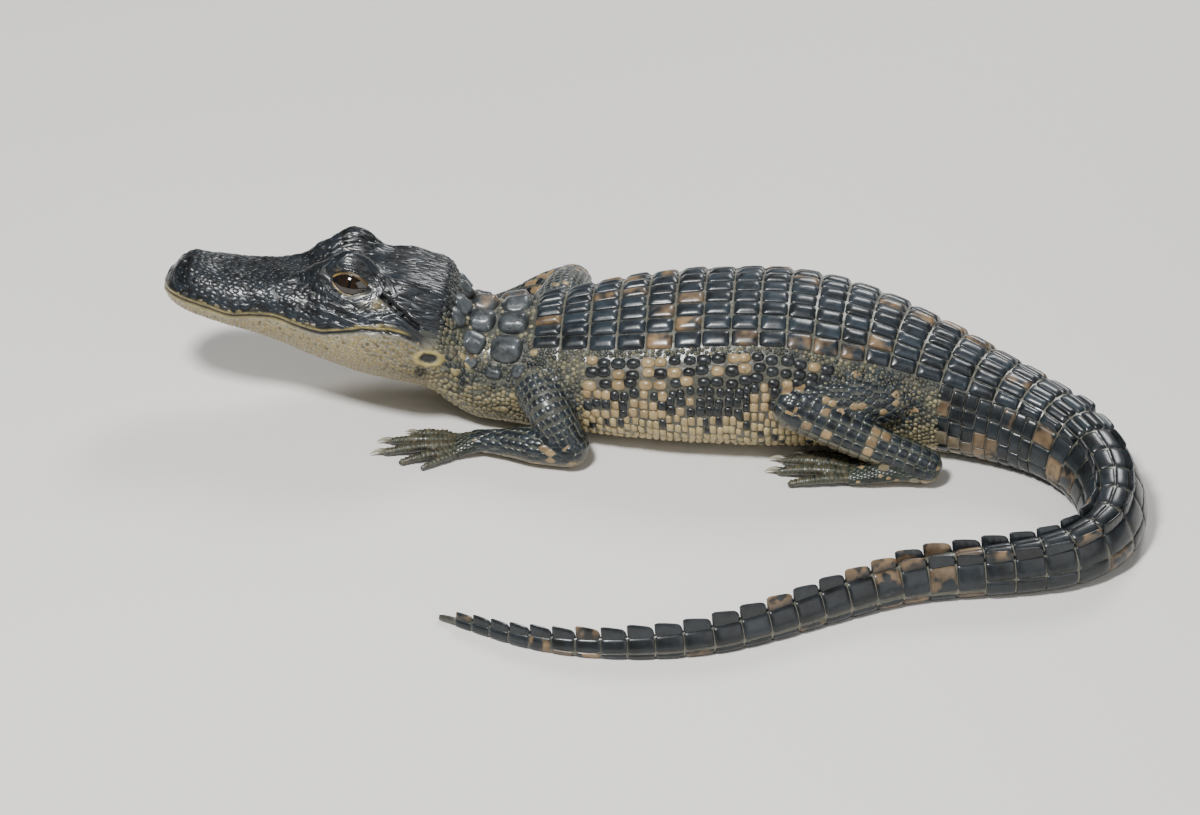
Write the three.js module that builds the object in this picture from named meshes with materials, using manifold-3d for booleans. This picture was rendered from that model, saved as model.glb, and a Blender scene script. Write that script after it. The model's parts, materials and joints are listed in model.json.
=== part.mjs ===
// A young American alligator, about 0.9 m long, modelled life-size as a still museum model.
// It lies on its belly with the head held up, both hind legs folded, and the tail curled round
// beside the body. Units are millimetres, +Z is up, and the floor is z = 0. The origin is on the
// floor under the middle of the belly. The head points to -X and the animal's left side faces -Y.
import * as THREE from "three";
import { mergeVertices } from "three/addons/utils/BufferGeometryUtils.js";
import Module from "manifold-3d";

const wasm = await Module();
wasm.setup();

// Driving sizes.
const headLength = 138;
const bodyWidth = 101;
const bodyHeight = 72;
const whorlLength = 14; // one transverse row of scutes, on the back and on the tail
const tailLength = 487;
const partingGap = 0.3; // between touching nodes
const footSink = 0.7; // how far a rounded underside would pass the floor before it is made flat

// Stations along the spine, measured from the origin towards the tail tip.
const occiputS = -142;
const neckEndS = -92;
const hipS = 100;
const ventS = 118;
const tailTipS = ventS + tailLength;
const tailPartsS = [ventS, 202, 272, 342, 454, tailTipS];
const singleCrestS = 370; // the two crests of the tail join into one here

// Curve maths: smooth interpolation through hand-set stations, without overshoot.
function interpolate(keys, x) {
  const last = keys.length - 1;
  if (x <= keys[0][0]) return keys[0][1];
  if (x >= keys[last][0]) return keys[last][1];
  let i = 0;
  while (x > keys[i + 1][0]) i += 1;
  const slope = (k) => (keys[k + 1][1] - keys[k][1]) / (keys[k + 1][0] - keys[k][0]);
  const tangent = (k) => {
    if (k === 0) return slope(0);
    if (k === last) return slope(last - 1);
    const a = slope(k - 1);
    const b = slope(k);
    return a * b <= 0 ? 0 : (2 * a * b) / (a + b);
  };
  const h = keys[i + 1][0] - keys[i][0];
  const t = (x - keys[i][0]) / h;
  const t2 = t * t;
  const t3 = t2 * t;
  return (
    (2 * t3 - 3 * t2 + 1) * keys[i][1] +
    (t3 - 2 * t2 + t) * h * tangent(i) +
    (-2 * t3 + 3 * t2) * keys[i + 1][1] +
    (t3 - t2) * h * tangent(i + 1)
  );
}

const smoothStep = (t) => {
  const u = Math.min(1, Math.max(0, t));
  return u * u * (3 - 2 * u);
};
const power = (v, e) => Math.sign(v) * Math.abs(v) ** e;
const radians = (deg) => (deg * Math.PI) / 180;
const vec = (x, y, z) => new THREE.Vector3(x, y, z);

// The spine in plan: heading in degrees at stations, integrated into a path on the floor.
const headingKeys = [
  [-142, -5],
  [0, -4],
  [60, -8],
  [100, -18],
  [150, -30],
  [180, -46],
  [205, -66],
  [230, -86],
  [252, -108],
  [276, -143],
  [300, -166],
  [330, -173],
  [355, -167],
  [385, -155],
  [420, -152],
  [450, -157],
  [480, -170],
  [520, -184],
  [550, -197],
  [575, -208],
  [tailTipS, -205],
];
const spineStep = 2;
const spinePath = new Map();
for (const way of [-1, 1]) {
  let x = 0;
  let y = 0;
  const end = way < 0 ? occiputS - 4 : tailTipS + 4;
  for (let s = 0; way * s <= way * end + spineStep; s += way * spineStep) {
    spinePath.set(s, [x, y]);
    const a = radians(interpolate(headingKeys, s + (way * spineStep) / 2));
    x += way * spineStep * Math.cos(a);
    y += way * spineStep * Math.sin(a);
  }
}
function spineAt(s) {
  const low = Math.floor(s / spineStep) * spineStep;
  const f = (s - low) / spineStep;
  const [x0, y0] = spinePath.get(low);
  const [x1, y1] = spinePath.get(low + spineStep) ?? [x0, y0];
  const a = radians(interpolate(headingKeys, s));
  return {
    centre: vec(x0 + f * (x1 - x0), y0 + f * (y1 - y0), 0),
    back: vec(Math.cos(a), Math.sin(a), 0), // towards the tail
    left: vec(Math.sin(a), -Math.cos(a), 0),
  };
}

// Cross-sections of neck, torso and tail: shares of the body's width and height at stations.
const halfWidthKeys = [
  [-142, 0.62],
  [-125, 0.62],
  [-108, 0.66],
  [-92, 0.73],
  [-70, 0.83],
  [-45, 0.92],
  [-15, 0.99],
  [15, 1],
  [40, 0.96],
  [65, 0.87],
  [85, 0.77],
  [hipS, 0.69],
  [ventS, 0.6],
  [135, 0.535],
  [155, 0.47],
  [180, 0.41],
  [205, 0.365],
  [235, 0.32],
  [265, 0.28],
  [300, 0.235],
  [350, 0.19],
  [400, 0.15],
  [450, 0.118],
  [500, 0.09],
  [550, 0.064],
  [585, 0.042],
  [tailTipS, 0.02],
];
const topKeys = [
  [-142, 0.82],
  [-122, 0.75],
  [-104, 0.74],
  [-88, 0.78],
  [-60, 0.865],
  [-30, 0.94],
  [0, 0.985],
  [30, 1],
  [60, 0.95],
  [85, 0.865],
  [hipS, 0.8],
  [ventS, 0.73],
  [135, 0.665],
  [155, 0.6],
  [180, 0.54],
  [205, 0.49],
  [235, 0.445],
  [265, 0.4],
  [300, 0.345],
  [350, 0.295],
  [400, 0.255],
  [450, 0.21],
  [500, 0.165],
  [550, 0.12],
  [585, 0.08],
  [tailTipS, 0.05],
];
const bellyKeys = [
  [-142, 9],
  [-132, 3],
  [-124, 0.4],
  [-116, -footSink],
  [tailTipS, -footSink],
];
const taperKeys = [
  [60, 0],
  [ventS, 0.08],
  [160, 0.2],
  [230, 0.3],
  [330, 0.34],
  [420, 0.42],
  [tailTipS, 0.35],
];
const squareTopKeys = [
  [-142, 2.1],
  [-60, 2.15],
  [40, 2.3],
  [150, 2.5],
  [300, 2.7],
  [420, 2.1],
  [tailTipS, 2],
];
const squareLowKeys = [
  [-142, 2.1],
  [-90, 2.4],
  [80, 2.6],
  [200, 2.3],
  [tailTipS, 2.1],
];

function bodySection(s) {
  const top = interpolate(topKeys, s) * bodyHeight;
  const low = interpolate(bellyKeys, s);
  return {
    halfWidth: (interpolate(halfWidthKeys, s) * bodyWidth) / 2,
    top,
    low,
    middle: low + 0.42 * (top - low),
    taper: interpolate(taperKeys, s),
    squareTop: interpolate(squareTopKeys, s),
    squareLow: interpolate(squareLowKeys, s),
  };
}

// A point of a section: angle 0 is the mid-back, +90 degrees the left flank, 180 the mid-belly.
function sectionPoint(m, angle, grow = 0) {
  const c = Math.cos(angle);
  const q = Math.sin(angle);
  const upper = c >= 0;
  const e = 2 / (upper ? m.squareTop : m.squareLow);
  const rise = upper ? m.top + grow - m.middle : m.middle - m.low + grow;
  const up = power(c, e) * rise;
  const narrow = 1 - m.taper * (up / (m.top - m.middle));
  return [power(q, e) * (m.halfWidth + grow) * narrow, m.middle + up];
}

// The head in its own frame: x forward from the rear edge of the skull table to the snout tip,
// y to the left, z up from the mouth line at the snout tip.
const headHalfWidthKeys = [
  [-30, 30.5],
  [-8, 34],
  [4, 36.5],
  [16, 38],
  [30, 37],
  [42, 34.8],
  [54, 31.8],
  [66, 28.6],
  [78, 25.7],
  [90, 23.7],
  [104, 22.5],
  [116, 21.2],
  [125, 18.9],
  [131, 15.5],
  [135, 11.2],
  [137.2, 6.4],
  [headLength, 2.6],
];
const headTopKeys = [
  [-30, 25],
  [-12, 28],
  [-4, 33],
  [2, 38],
  [20, 38.6],
  [34, 36.8],
  [44, 34],
  [56, 30.5],
  [66, 27],
  [76, 24],
  [88, 21.4],
  [102, 19.6],
  [116, 18.4],
  [126, 17],
  [132, 13.4],
  [136, 8.4],
  [headLength, 3.2],
];
const headBottomKeys = [
  [-30, -34],
  [-12, -25],
  [0, -20],
  [14, -19],
  [30, -19.5],
  [50, -18.5],
  [62, -17.2],
  [72, -15],
  [90, -12],
  [110, -10],
  [126, -8],
  [133, -6],
  [headLength, -1.6],
];
const mouthKeys = [
  [4, 11],
  [10, 14],
  [20, 15.5],
  [34, 13.5],
  [48, 8],
  [58, 4.6],
  [70, 4.2],
  [80, 4.8],
  [92, 2.6],
  [104, 0.2],
  [116, 0.8],
  [128, 0.9],
  [headLength, 0.6],
];
const headMiddleKeys = [
  [-30, 6],
  [0, 8],
  [20, 8],
  [40, 6.5],
  [60, 4.6],
  [80, 4.8],
  [104, 0.6],
  [headLength, 0.6],
];
const headSquareKeys = [
  [-30, 2.1],
  [0, 2.5],
  [30, 2.4],
  [60, 2.2],
  [90, 2.5],
  [120, 2.5],
  [headLength, 2],
];
const lipOverhang = 1.4; // how far the upper jaw stands out past the lower one

// Forms raised or sunk in the head's surface: centre, spread, direction and height.
const eyeX = 46.5;
const headForms = [];
for (const side of [-1, 1]) {
  headForms.push(
    { at: [52.5, side * 15.5, 33], spread: [12, 8.5, 12], push: [0, side * 1.5, 15] }, // eye dome
    { at: [20, side * 21, 37], spread: [19, 5, 5], push: [0, side * 0.6, 2.2] }, // skull table edge
    { at: [22, side * 31, 26], spread: [17, 6, 8], push: [0, side * -2.4, 0] }, // ear hollow
    { at: [14, side * 35, 0], spread: [14, 9, 11], push: [0, side * 2.4, 0] }, // jaw muscle
    { at: [126.5, side * 5.5, 17], spread: [8.5, 6, 6.5], push: [0, 0, 1.6] }, // nostril bulb
    { at: [72, side * 13, 23], spread: [12, 4, 6], push: [0, 0, 1.8] }, // ridge before the eye
    { at: [104, side * 21, 3], spread: [8, 6, 7], push: [0, side * 1.2, -0.6] }, // front teeth
    { at: [62, side * 28, 5], spread: [10, 6, 6], push: [0, side * 0.9, -0.5] }, // rear teeth
  );
}
headForms.push(
  { at: [50, 0, 32], spread: [15, 6.5, 9], push: [0, 0, -2.4] }, // hollow between the eyes
  { at: [108, 0, 19], spread: [14, 7, 6], push: [0, 0, -1.2] }, // dip behind the nostrils
);

function headPoint(x, angle) {
  const c = Math.cos(angle);
  const q = Math.sin(angle);
  const e = 2 / interpolate(headSquareKeys, x);
  const middle = interpolate(headMiddleKeys, x);
  const top = interpolate(headTopKeys, x);
  const bottom = interpolate(headBottomKeys, x);
  const halfWidth = interpolate(headHalfWidthKeys, x);
  const z = middle + power(c, e) * (c >= 0 ? top - middle : middle - bottom);
  const under = smoothStep((interpolate(mouthKeys, x) - z) / 1.2) * smoothStep((x - 30) / 30);
  const y = power(q, e) * (halfWidth - under * lipOverhang * smoothStep((headLength - x) / 3));
  const p = vec(x, y, z);
  for (const form of headForms) {
    const far =
      ((x - form.at[0]) / form.spread[0]) ** 2 +
      ((y - form.at[1]) / form.spread[1]) ** 2 +
      ((z - form.at[2]) / form.spread[2]) ** 2;
    if (far < 9) p.addScaledVector(vec(...form.push), Math.exp(-far));
  }
  return p;
}

const headPlace = { x: -141.5, y: 13, z: 33.7, yaw: 4.8, pitch: 11, roll: 9.3 };
const headMatrix = new THREE.Matrix4()
  .makeTranslation(headPlace.x, headPlace.y, headPlace.z)
  .multiply(new THREE.Matrix4().makeRotationZ(radians(180 - headPlace.yaw)))
  .multiply(new THREE.Matrix4().makeRotationY(radians(-headPlace.pitch)))
  .multiply(new THREE.Matrix4().makeRotationX(radians(headPlace.roll)));

// A point on the skin of neck, torso or tail, in the part's frame. The neck runs out of the head.
const neckBlend = 26;
function bodyPoint(s, angle, grow = 0) {
  const { centre, left } = spineAt(s);
  const [y, z] = sectionPoint(bodySection(s), angle, grow);
  const p = centre.clone().addScaledVector(left, y).add(vec(0, 0, z));
  if (s < occiputS + neckBlend) {
    const fromHead = headPoint(occiputS - s, angle).applyMatrix4(headMatrix);
    p.lerpVectors(fromHead, p, smoothStep((s - occiputS) / neckBlend));
  }
  return p;
}

// Solids: closed meshes for the Boolean joins and cuts.
function solidFrom(points, faces) {
  return new wasm.Manifold(
    new wasm.Mesh({
      numProp: 3,
      vertProperties: new Float32Array(points.flatMap((p) => [p.x, p.y, p.z])),
      triVerts: new Uint32Array(faces.flat()),
    }),
  );
}

// The same, with its faces turned outward.
function outward(points, faces) {
  const made = solidFrom(points, faces);
  return made.volume() < 0 ? solidFrom(points, faces.map(([a, b, c]) => [a, c, b])) : made;
}

function solidOf(geometry, matrix) {
  const bare = geometry.clone();
  bare.deleteAttribute("normal");
  bare.deleteAttribute("uv");
  const merged = mergeVertices(bare, 1e-4).applyMatrix4(matrix);
  return new wasm.Manifold(
    new wasm.Mesh({
      numProp: 3,
      vertProperties: merged.attributes.position.array,
      triVerts: new Uint32Array(merged.index.array),
    }),
  );
}

// Rings of points, in order, joined into a tube with a fan at each end. Where plateAt gives the
// raised corners and the two ridge points of a plate, they take the place of the flat cell.
function loft(rings, plateAt = () => null) {
  const sides = rings[0].length;
  const points = rings.flat();
  const faces = [];
  for (let r = 0; r + 1 < rings.length; r += 1) {
    for (let k = 0; k < sides; k += 1) {
      const a = r * sides + k;
      const b = r * sides + ((k + 1) % sides);
      const cell = [a, a + sides, b + sides, b];
      const plate = plateAt(r, k);
      if (!plate) {
        faces.push([cell[0], cell[1], cell[3]], [cell[3], cell[1], cell[2]]);
        continue;
      }
      const first = points.length;
      points.push(...plate);
      for (let e = 0; e < 4; e += 1) {
        const n = (e + 1) % 4;
        faces.push([cell[e], cell[n], first + n], [cell[e], first + n, first + e]);
      }
      const [p0, p1, p2, p3, front, rear] = [0, 1, 2, 3, 4, 5].map((i) => first + i);
      faces.push([p0, p1, rear], [p0, rear, front], [p1, p2, rear]);
      faces.push([p2, p3, front], [p2, front, rear], [p3, p0, front]);
    }
  }
  for (const [ring, first] of [[rings[0], 0], [rings.at(-1), (rings.length - 1) * sides]]) {
    const hub = points.length;
    points.push(ring.reduce((sum, p) => sum.add(p), vec(0, 0, 0)).divideScalar(sides));
    for (let k = 0; k < sides; k += 1) {
      const a = first + k;
      const b = first + ((k + 1) % sides);
      faces.push(first === 0 ? [hub, a, b] : [hub, b, a]);
    }
  }
  return outward(points, faces);
}

const joined = (solids) => wasm.Manifold.union(solids);
function largest(solid) {
  return solid.decompose().reduce((best, s) => (s.volume() > best.volume() ? s : best));
}
const fineness = 0.05; // slivers smaller than this are merged away
const aboveFloor = (solid) => solid.trimByPlane([0, 0, 1], 0);

function stations(from, to, spacing) {
  const count = Math.max(1, Math.round((to - from) / spacing));
  return Array.from({ length: count + 1 }, (_, i) => from + ((to - from) * i) / count);
}

// The angle of a section at which the skin lies so many millimetres from the mid-back.
function angleAtArc(s, arc) {
  const m = bodySection(s);
  const step = 0.02;
  let run = 0;
  let angle = 0;
  let [y0, z0] = sectionPoint(m, 0);
  while (run < Math.abs(arc) && angle < Math.PI) {
    angle += step;
    const [y1, z1] = sectionPoint(m, angle);
    run += Math.hypot(y1 - y0, z1 - z0);
    [y0, z0] = [y1, z1];
  }
  return Math.sign(arc) * angle;
}

const shieldArcKeys = [
  [-142, 24],
  [-90, 26],
  [-60, 33],
  [-20, 37.5],
  [50, 37.5],
  [90, 31],
  [ventS, 25.5],
  [150, 20],
  [200, 14.5],
]; // how far from the mid-back the outermost plates reach

function skinNormal(s, angle) {
  const d = 0.5;
  const along = bodyPoint(s + d, angle).sub(bodyPoint(s - d, angle));
  const around = bodyPoint(s, angle + 0.03).sub(bodyPoint(s, angle - 0.03));
  return around.cross(along).normalize();
}

// A plate of the back or neck: four raised corners and a ridge that rises to the rear.
function roofPoints(s0, s1, arc0, arc1, inset, edge, keel) {
  const at = (s, arc, lift) => {
    const angle = angleAtArc(s, arc);
    return bodyPoint(s, angle).addScaledVector(skinNormal(s, angle), lift);
  };
  const da = Math.sign(arc1 - arc0) * inset;
  const mid = (arc0 + arc1) / 2;
  return [
    at(s0 + inset, arc0 + da, edge),
    at(s1 - inset, arc0 + da, edge),
    at(s1 - inset, arc1 - da, edge),
    at(s0 + inset, arc1 - da, edge),
    at(s0 + 0.25 * (s1 - s0), mid, edge + 0.45 * keel),
    at(s1 - 0.16 * (s1 - s0), mid, edge + keel),
  ];
}

// A length of neck, torso or tail, with plates in rows where columns of them are asked for.
// Ring points follow the seams between the columns. Points under the floor are laid on it,
// which makes the flats that the animal rests on.
const plateInset = 0.9;
const plateEdge = 0.9;
function trunkLength(stops, sides, columns, { plated = false, grow = 0 } = {}) {
  const rings = stops.map((s) => {
    const reach = interpolate(shieldArcKeys, s);
    const seams = Array.from({ length: columns }, (_, c) => angleAtArc(s, ((c + 1) / columns) * reach));
    const rest = Math.round((sides - 2 * columns - 1) / 2);
    const last = columns > 0 ? seams.at(-1) : 0;
    const lower = Array.from({ length: rest }, (_, k) => last + ((k + 1) / (rest + 0.5)) * (Math.PI - last));
    const half = [...seams, ...lower];
    return [0, ...half, ...half.map((a) => 2 * Math.PI - a).reverse()].map((angle) => {
      const p = bodyPoint(s, angle, grow);
      if (grow === 0) p.z = Math.max(0, p.z);
      return p;
    });
  });
  const count = rings[0].length;
  const plateAt = (r, k) => {
    const c = k < columns ? k : count - 1 - k;
    if (!plated || c >= columns) return null;
    const [s0, s1] = [stops[r], stops[r + 1]];
    const width = interpolate(shieldArcKeys, (s0 + s1) / 2) / columns;
    const arcs = k < columns ? [c * width, (c + 1) * width] : [-(c + 1) * width, -c * width];
    return roofPoints(s0, s1, ...arcs, plateInset, plateEdge + grow, c === 3 ? 0.4 : 1.5);
  };
  return loft(rings, plateAt);
}

// A separate plate with its root in the skin.
function plateSolid(s0, s1, arc0, arc1, edge, keel) {
  const root = roofPoints(s0, s1, arc0, arc1, 0, -1.5, 0).slice(0, 4);
  const roof = roofPoints(s0, s1, arc0, arc1, 0.6, edge, keel);
  const points = [...root, ...roof];
  const faces = [
    [0, 2, 1],
    [0, 3, 2],
    [4, 5, 9],
    [4, 9, 8],
    [5, 6, 9],
    [6, 7, 8],
    [6, 8, 9],
    [7, 4, 8],
  ];
  for (let k = 0; k < 4; k += 1) {
    const n = (k + 1) % 4;
    faces.push([k, n, n + 4], [k, n + 4, k + 4]);
  }
  return outward(points, faces);
}

// A crest plate of the tail: a thin upright lobe that leans back, 6 sides to its outline.
function crestPlate(s0, s1, arc, height, thickness, lean) {
  const outline = [
    [0, -2],
    [0.98, -2],
    [1.03, 0.7],
    [0.84, 1],
    [0.42, 0.8],
    [0.08, 0.25],
  ];
  const leftRow = [];
  const rightRow = [];
  for (const [f, h] of outline) {
    const s = s0 + f * (s1 - s0);
    const angle = angleAtArc(s, arc);
    const { left } = spineAt(s);
    const up = h < 0 ? h : h * height;
    const half = (thickness / 2) * (h < 0 ? 1 : 1 - 0.55 * h);
    const base = bodyPoint(s, angle).add(vec(0, 0, up)).addScaledVector(left, lean * Math.max(0, up));
    leftRow.push(base.clone().addScaledVector(left, half));
    rightRow.push(base.clone().addScaledVector(left, -half));
  }
  const n = outline.length;
  const points = [...leftRow, ...rightRow];
  const faces = [];
  for (let k = 1; k + 1 < n; k += 1) faces.push([0, k, k + 1], [n, n + k + 1, n + k]);
  for (let k = 0; k < n; k += 1) {
    const m = (k + 1) % n;
    faces.push([k, n + k, n + m], [k, n + m, m]);
  }
  return outward(points, faces);
}

// Rows of plates: their lengths shorten towards the tail tip.
const firstWhorlS = -92;
const whorlS = [firstWhorlS];
while (whorlS.at(-1) < tailTipS - 14) {
  const s = whorlS.at(-1);
  whorlS.push(s + whorlLength * (s < 470 ? 1 : 1 - 0.4 * ((s - 470) / (tailTipS - 470))));
}
const crestHeightKeys = [
  [190, 2.8],
  [230, 4],
  [300, 5.2],
  [singleCrestS, 6.4],
  [440, 7.4],
  [520, 6],
  [575, 3.6],
  [tailTipS, 2],
];

// How far the two crests of the tail stand from its middle.
const crestArcKeys = [
  [ventS, 16],
  [150, 12.5],
  [190, 10.5],
  [260, 8.5],
  [330, 6],
  [singleCrestS, 2.6],
];

function crestPlates(from, to) {
  const plates = [];
  for (let i = 0; i + 1 < whorlS.length; i += 1) {
    const s0 = whorlS[i] + 0.5;
    const s1 = whorlS[i + 1] - 0.8;
    const mid = (s0 + s1) / 2;
    if (s0 < from || s1 > to) continue;
    const height = interpolate(crestHeightKeys, mid);
    if (mid < singleCrestS) {
      const arc = interpolate(crestArcKeys, mid);
      for (const side of [-1, 1]) plates.push(crestPlate(s0, s1, side * arc, height, 2.8, side * 0.22));
    } else {
      plates.push(crestPlate(s0, s1, 0, height, 2.6, 0));
    }
  }
  return plates;
}

// Neck plates: the four large nuchal shields, a small pair behind them, and the pair and row
// behind the skull. Each is [s, arc, half length, half width, height].
const neckPlates = [
  [-101, 7.2, 6.2, 6.4, 3.6],
  [-113.5, 7, 6.2, 6.6, 3.8],
  [-106, 20, 5.6, 5, 3],
  [-118.5, 19, 4.6, 4.4, 2.4],
  [-127.5, 6, 4.6, 4.4, 2.6],
  [-129, 16, 3.6, 3.4, 1.8],
];
const neckPlateSolids = neckPlates.flatMap(([s, arc, halfLength, halfBreadth, height]) =>
  [-1, 1].map((side) =>
    plateSolid(
      s - halfLength,
      s + halfLength,
      side * (arc - halfBreadth),
      side * (arc + halfBreadth),
      height * 0.4,
      height * 0.6,
    ),
  ),
);

// Limbs: elliptical tubes swept along a curve, with rounded ends.
function tube(path, sizes, { sides = 10, steps = 6, caps = [0.45, 0.85], openStart = false } = {}) {
  const curve = new THREE.CatmullRomCurve3(path, false, "centripetal");
  const wide = sizes.map(([t, w]) => [t, w]);
  const thick = sizes.map(([t, , h]) => [t, h]);
  const rings = [];
  const addRing = (t, out, share) => {
    const along = curve.getTangentAt(t);
    const w = interpolate(wide, t);
    const h = interpolate(thick, t);
    const side = new THREE.Vector3().crossVectors(along, vec(0, 0, 1)).normalize();
    const up = new THREE.Vector3().crossVectors(side, along).normalize();
    const centre = curve.getPointAt(t).addScaledVector(along, out * Math.min(w, h));
    rings.push(
      Array.from({ length: sides }, (_, k) => {
        const a = (k / sides) * 2 * Math.PI;
        const across = side.clone().multiplyScalar(Math.cos(a) * w * share);
        return centre.clone().add(across).addScaledVector(up, Math.sin(a) * h * share);
      }),
    );
  };
  if (!openStart) {
    addRing(0, -0.97, 0.25);
    for (const c of [...caps].reverse()) addRing(0, -c, Math.sqrt(1 - c * c));
  }
  for (let i = 0; i <= steps; i += 1) addRing(i / steps, 0, 1);
  for (const c of caps) addRing(1, c, Math.sqrt(1 - c * c));
  addRing(1, 0.97, 0.25);
  return loft(rings);
}

// A claw: a curved five-sided cone that runs on from the end of its toe.
function claw(tip, direction, length, radius) {
  const side = new THREE.Vector3().crossVectors(direction, vec(0, 0, 1)).normalize();
  const up = new THREE.Vector3().crossVectors(side, direction).normalize();
  const rings = [
    [-0.35, 1, 0],
    [0.3, 0.9, 0],
    [0.7, 0.5, -0.1],
    [1, 0.14, -0.3],
  ].map(([f, share, drop]) => {
    const centre = tip
      .clone()
      .addScaledVector(direction, f * length)
      .addScaledVector(up, drop * length * 0.5);
    return Array.from({ length: 5 }, (_, k) => {
      const a = (k / 5) * 2 * Math.PI;
      return centre
        .clone()
        .addScaledVector(side, Math.cos(a) * radius * share)
        .addScaledVector(up, Math.sin(a) * radius * share);
    });
  });
  return loft(rings);
}

// A foot: a flat sole, spread toes of given length and bearing, and claws on the inner three.
function foot({ wrist, palm, bearing, side, toes, palmSizes, webShare }) {
  const heading = (turn) => {
    const a = radians(bearing + side * turn);
    return vec(Math.cos(a), Math.sin(a), 0);
  };
  const across = vec(Math.sin(radians(bearing)), -Math.cos(radians(bearing)), 0);
  const rootOf = (offset) => palm.clone().addScaledVector(across, -side * offset);
  const sole = [wrist, wrist.clone().lerp(palm, 0.55), palm];
  const pieces = [tube(sole, palmSizes, { sides: 8, steps: 3, caps: [0.6] })];
  for (const [turn, length, radius, offset, clawLength] of toes) {
    const along = heading(turn);
    const at = (f, z) => rootOf(offset).addScaledVector(along, f * length).setZ(z);
    const path = [at(-0.05, palm.z), at(0.35, radius * 1.6), at(0.72, radius * 1.3), at(1, radius * 0.7)];
    const sizes = [
      [0, radius * 1.15, radius],
      [0.5, radius, radius * 0.95],
      [1, radius * 0.75, radius * 0.7],
    ];
    pieces.push(tube(path, sizes, { sides: 6, steps: 3, caps: [0.6], openStart: true }));
    if (clawLength > 0) pieces.push(claw(at(1, radius * 0.8), along, clawLength, radius * 0.62));
  }
  if (webShare > 0) {
    const web = toes.map(([turn, length, , offset]) =>
      rootOf(offset).addScaledVector(heading(turn), webShare * length),
    );
    pieces.push(slab([palm.clone().addScaledVector(heading(0), -6), ...web], 1.2, 2.6));
  }
  return joined(pieces);
}

// A flat plate between two levels over a fan of points.
function slab(rim, low, high) {
  const n = rim.length;
  const points = [...rim.map((p) => p.clone().setZ(low)), ...rim.map((p) => p.clone().setZ(high))];
  const faces = [];
  for (let k = 1; k + 1 < n; k += 1) faces.push([0, k, k + 1], [n, n + k + 1, n + k]);
  for (let k = 0; k < n; k += 1) {
    const m = (k + 1) % n;
    faces.push([k, n + k, n + m], [k, n + m, m]);
  }
  return outward(points, faces);
}

// Two limb lengths meet on the plane that halves the angle between them.
function partingPlane(before, at, after) {
  const toBefore = before.clone().sub(at).normalize();
  const toAfter = after.clone().sub(at).normalize();
  const normal = toBefore.sub(toAfter).normalize();
  return { normal, offset: normal.dot(at) };
}
const beforePlane = (solid, { normal, offset }) =>
  solid.trimByPlane(normal.toArray(), offset + partingGap / 2);
const afterPlane = (solid, { normal, offset }) =>
  solid.trimByPlane(normal.clone().negate().toArray(), -offset + partingGap / 2);

// Joints of the limbs in the part's frame. The near side is the animal's left.
const foreLegs = {
  left: {
    root: vec(-90, -22, 30),
    rootMid: vec(-84, -38, 24),
    bend: vec(-75, -48, 10),
    lowerMid: vec(-98, -43, 9),
    wrist: vec(-119, -37.5, 7),
    palm: vec(-130, -37, 3.7),
    bearing: 180,
    side: 1,
  },
  right: {
    root: vec(-84, 34, 34),
    rootMid: vec(-78, 58, 32),
    bend: vec(-74, 78, 25),
    lowerMid: vec(-92, 81, 17),
    wrist: vec(-109, 84, 9),
    palm: vec(-121, 84, 3.7),
    bearing: 176,
    side: -1,
  },
};
const hindLegs = {
  left: {
    root: vec(95, -26, 29),
    rootMid: vec(66, -40, 34.5),
    bend: vec(34.5, -48.5, 35),
    lowerMid: vec(68, -57.5, 22),
    wrist: vec(100, -64, 10),
    palm: vec(64, -60.5, 3.9),
    bearing: 164,
    side: 1,
  },
  right: {
    root: vec(95, 6, 34),
    rootMid: vec(70, 34, 33),
    bend: vec(42, 51, 29),
    lowerMid: vec(71, 58, 19),
    wrist: vec(100, 62, 10),
    palm: vec(65, 66, 3.9),
    bearing: 172,
    side: -1,
  },
};
// Toes of a fore foot and a hind foot, inner toe first: [turn, length, radius, offset, claw].
const foreToes = [
  [-19, 22, 2.5, -6.2, 6.5],
  [-5, 33, 2.7, -3.3, 8],
  [5, 36, 2.7, 0.2, 8],
  [16, 29, 2.3, 3.8, 0],
  [30, 20, 2, 6.4, 0],
];
const hindToes = [
  [-10, 26, 3, -6, 7],
  [-1, 35, 3.2, -2.2, 8.5],
  [8, 35, 3.1, 2, 8.5],
  [19, 29, 2.6, 6, 0],
];
const upperArmSizes = [
  [0, 14, 13],
  [0.45, 11.5, 11],
  [1, 10, 9.5],
];
const foreArmSizes = [
  [0, 10, 9.5],
  [0.3, 10.2, 9],
  [0.8, 6.6, 6],
  [1, 6, 5.2],
];
const thighSizes = [
  [0, 18, 16.5],
  [0.45, 16, 15.5],
  [0.8, 13, 13],
  [1, 11, 11.5],
];
const shankSizes = [
  [0, 11, 11.5],
  [0.4, 9.8, 10.5],
  [0.8, 8.2, 8.8],
  [1, 8, 8.4],
];
const forePalmSizes = [
  [0, 6, 5],
  [0.5, 7.5, 4.4],
  [1, 8.6, 3.9],
];
const hindPalmSizes = [
  [0, 8, 8.4],
  [0.35, 8, 5.8],
  [0.8, 9.4, 4.6],
  [1, 9.2, 4.1],
];

function legSolids(leg, rootSizes, lowerSizes, footParts) {
  const bendPlane = partingPlane(leg.rootMid, leg.bend, leg.lowerMid);
  const wristPlane = partingPlane(leg.lowerMid, leg.wrist, leg.palm);
  const rootTube = tube([leg.root, leg.rootMid, leg.bend], rootSizes, { steps: 5 });
  const lowerTube = tube([leg.bend, leg.lowerMid, leg.wrist], lowerSizes, { steps: 5 });
  return [
    beforePlane(rootTube, bendPlane),
    beforePlane(afterPlane(lowerTube, bendPlane), wristPlane),
    afterPlane(foot({ ...leg, ...footParts }), wristPlane),
  ].map((solid) => largest(aboveFloor(solid).subtract(trunkClear)));
}

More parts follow.
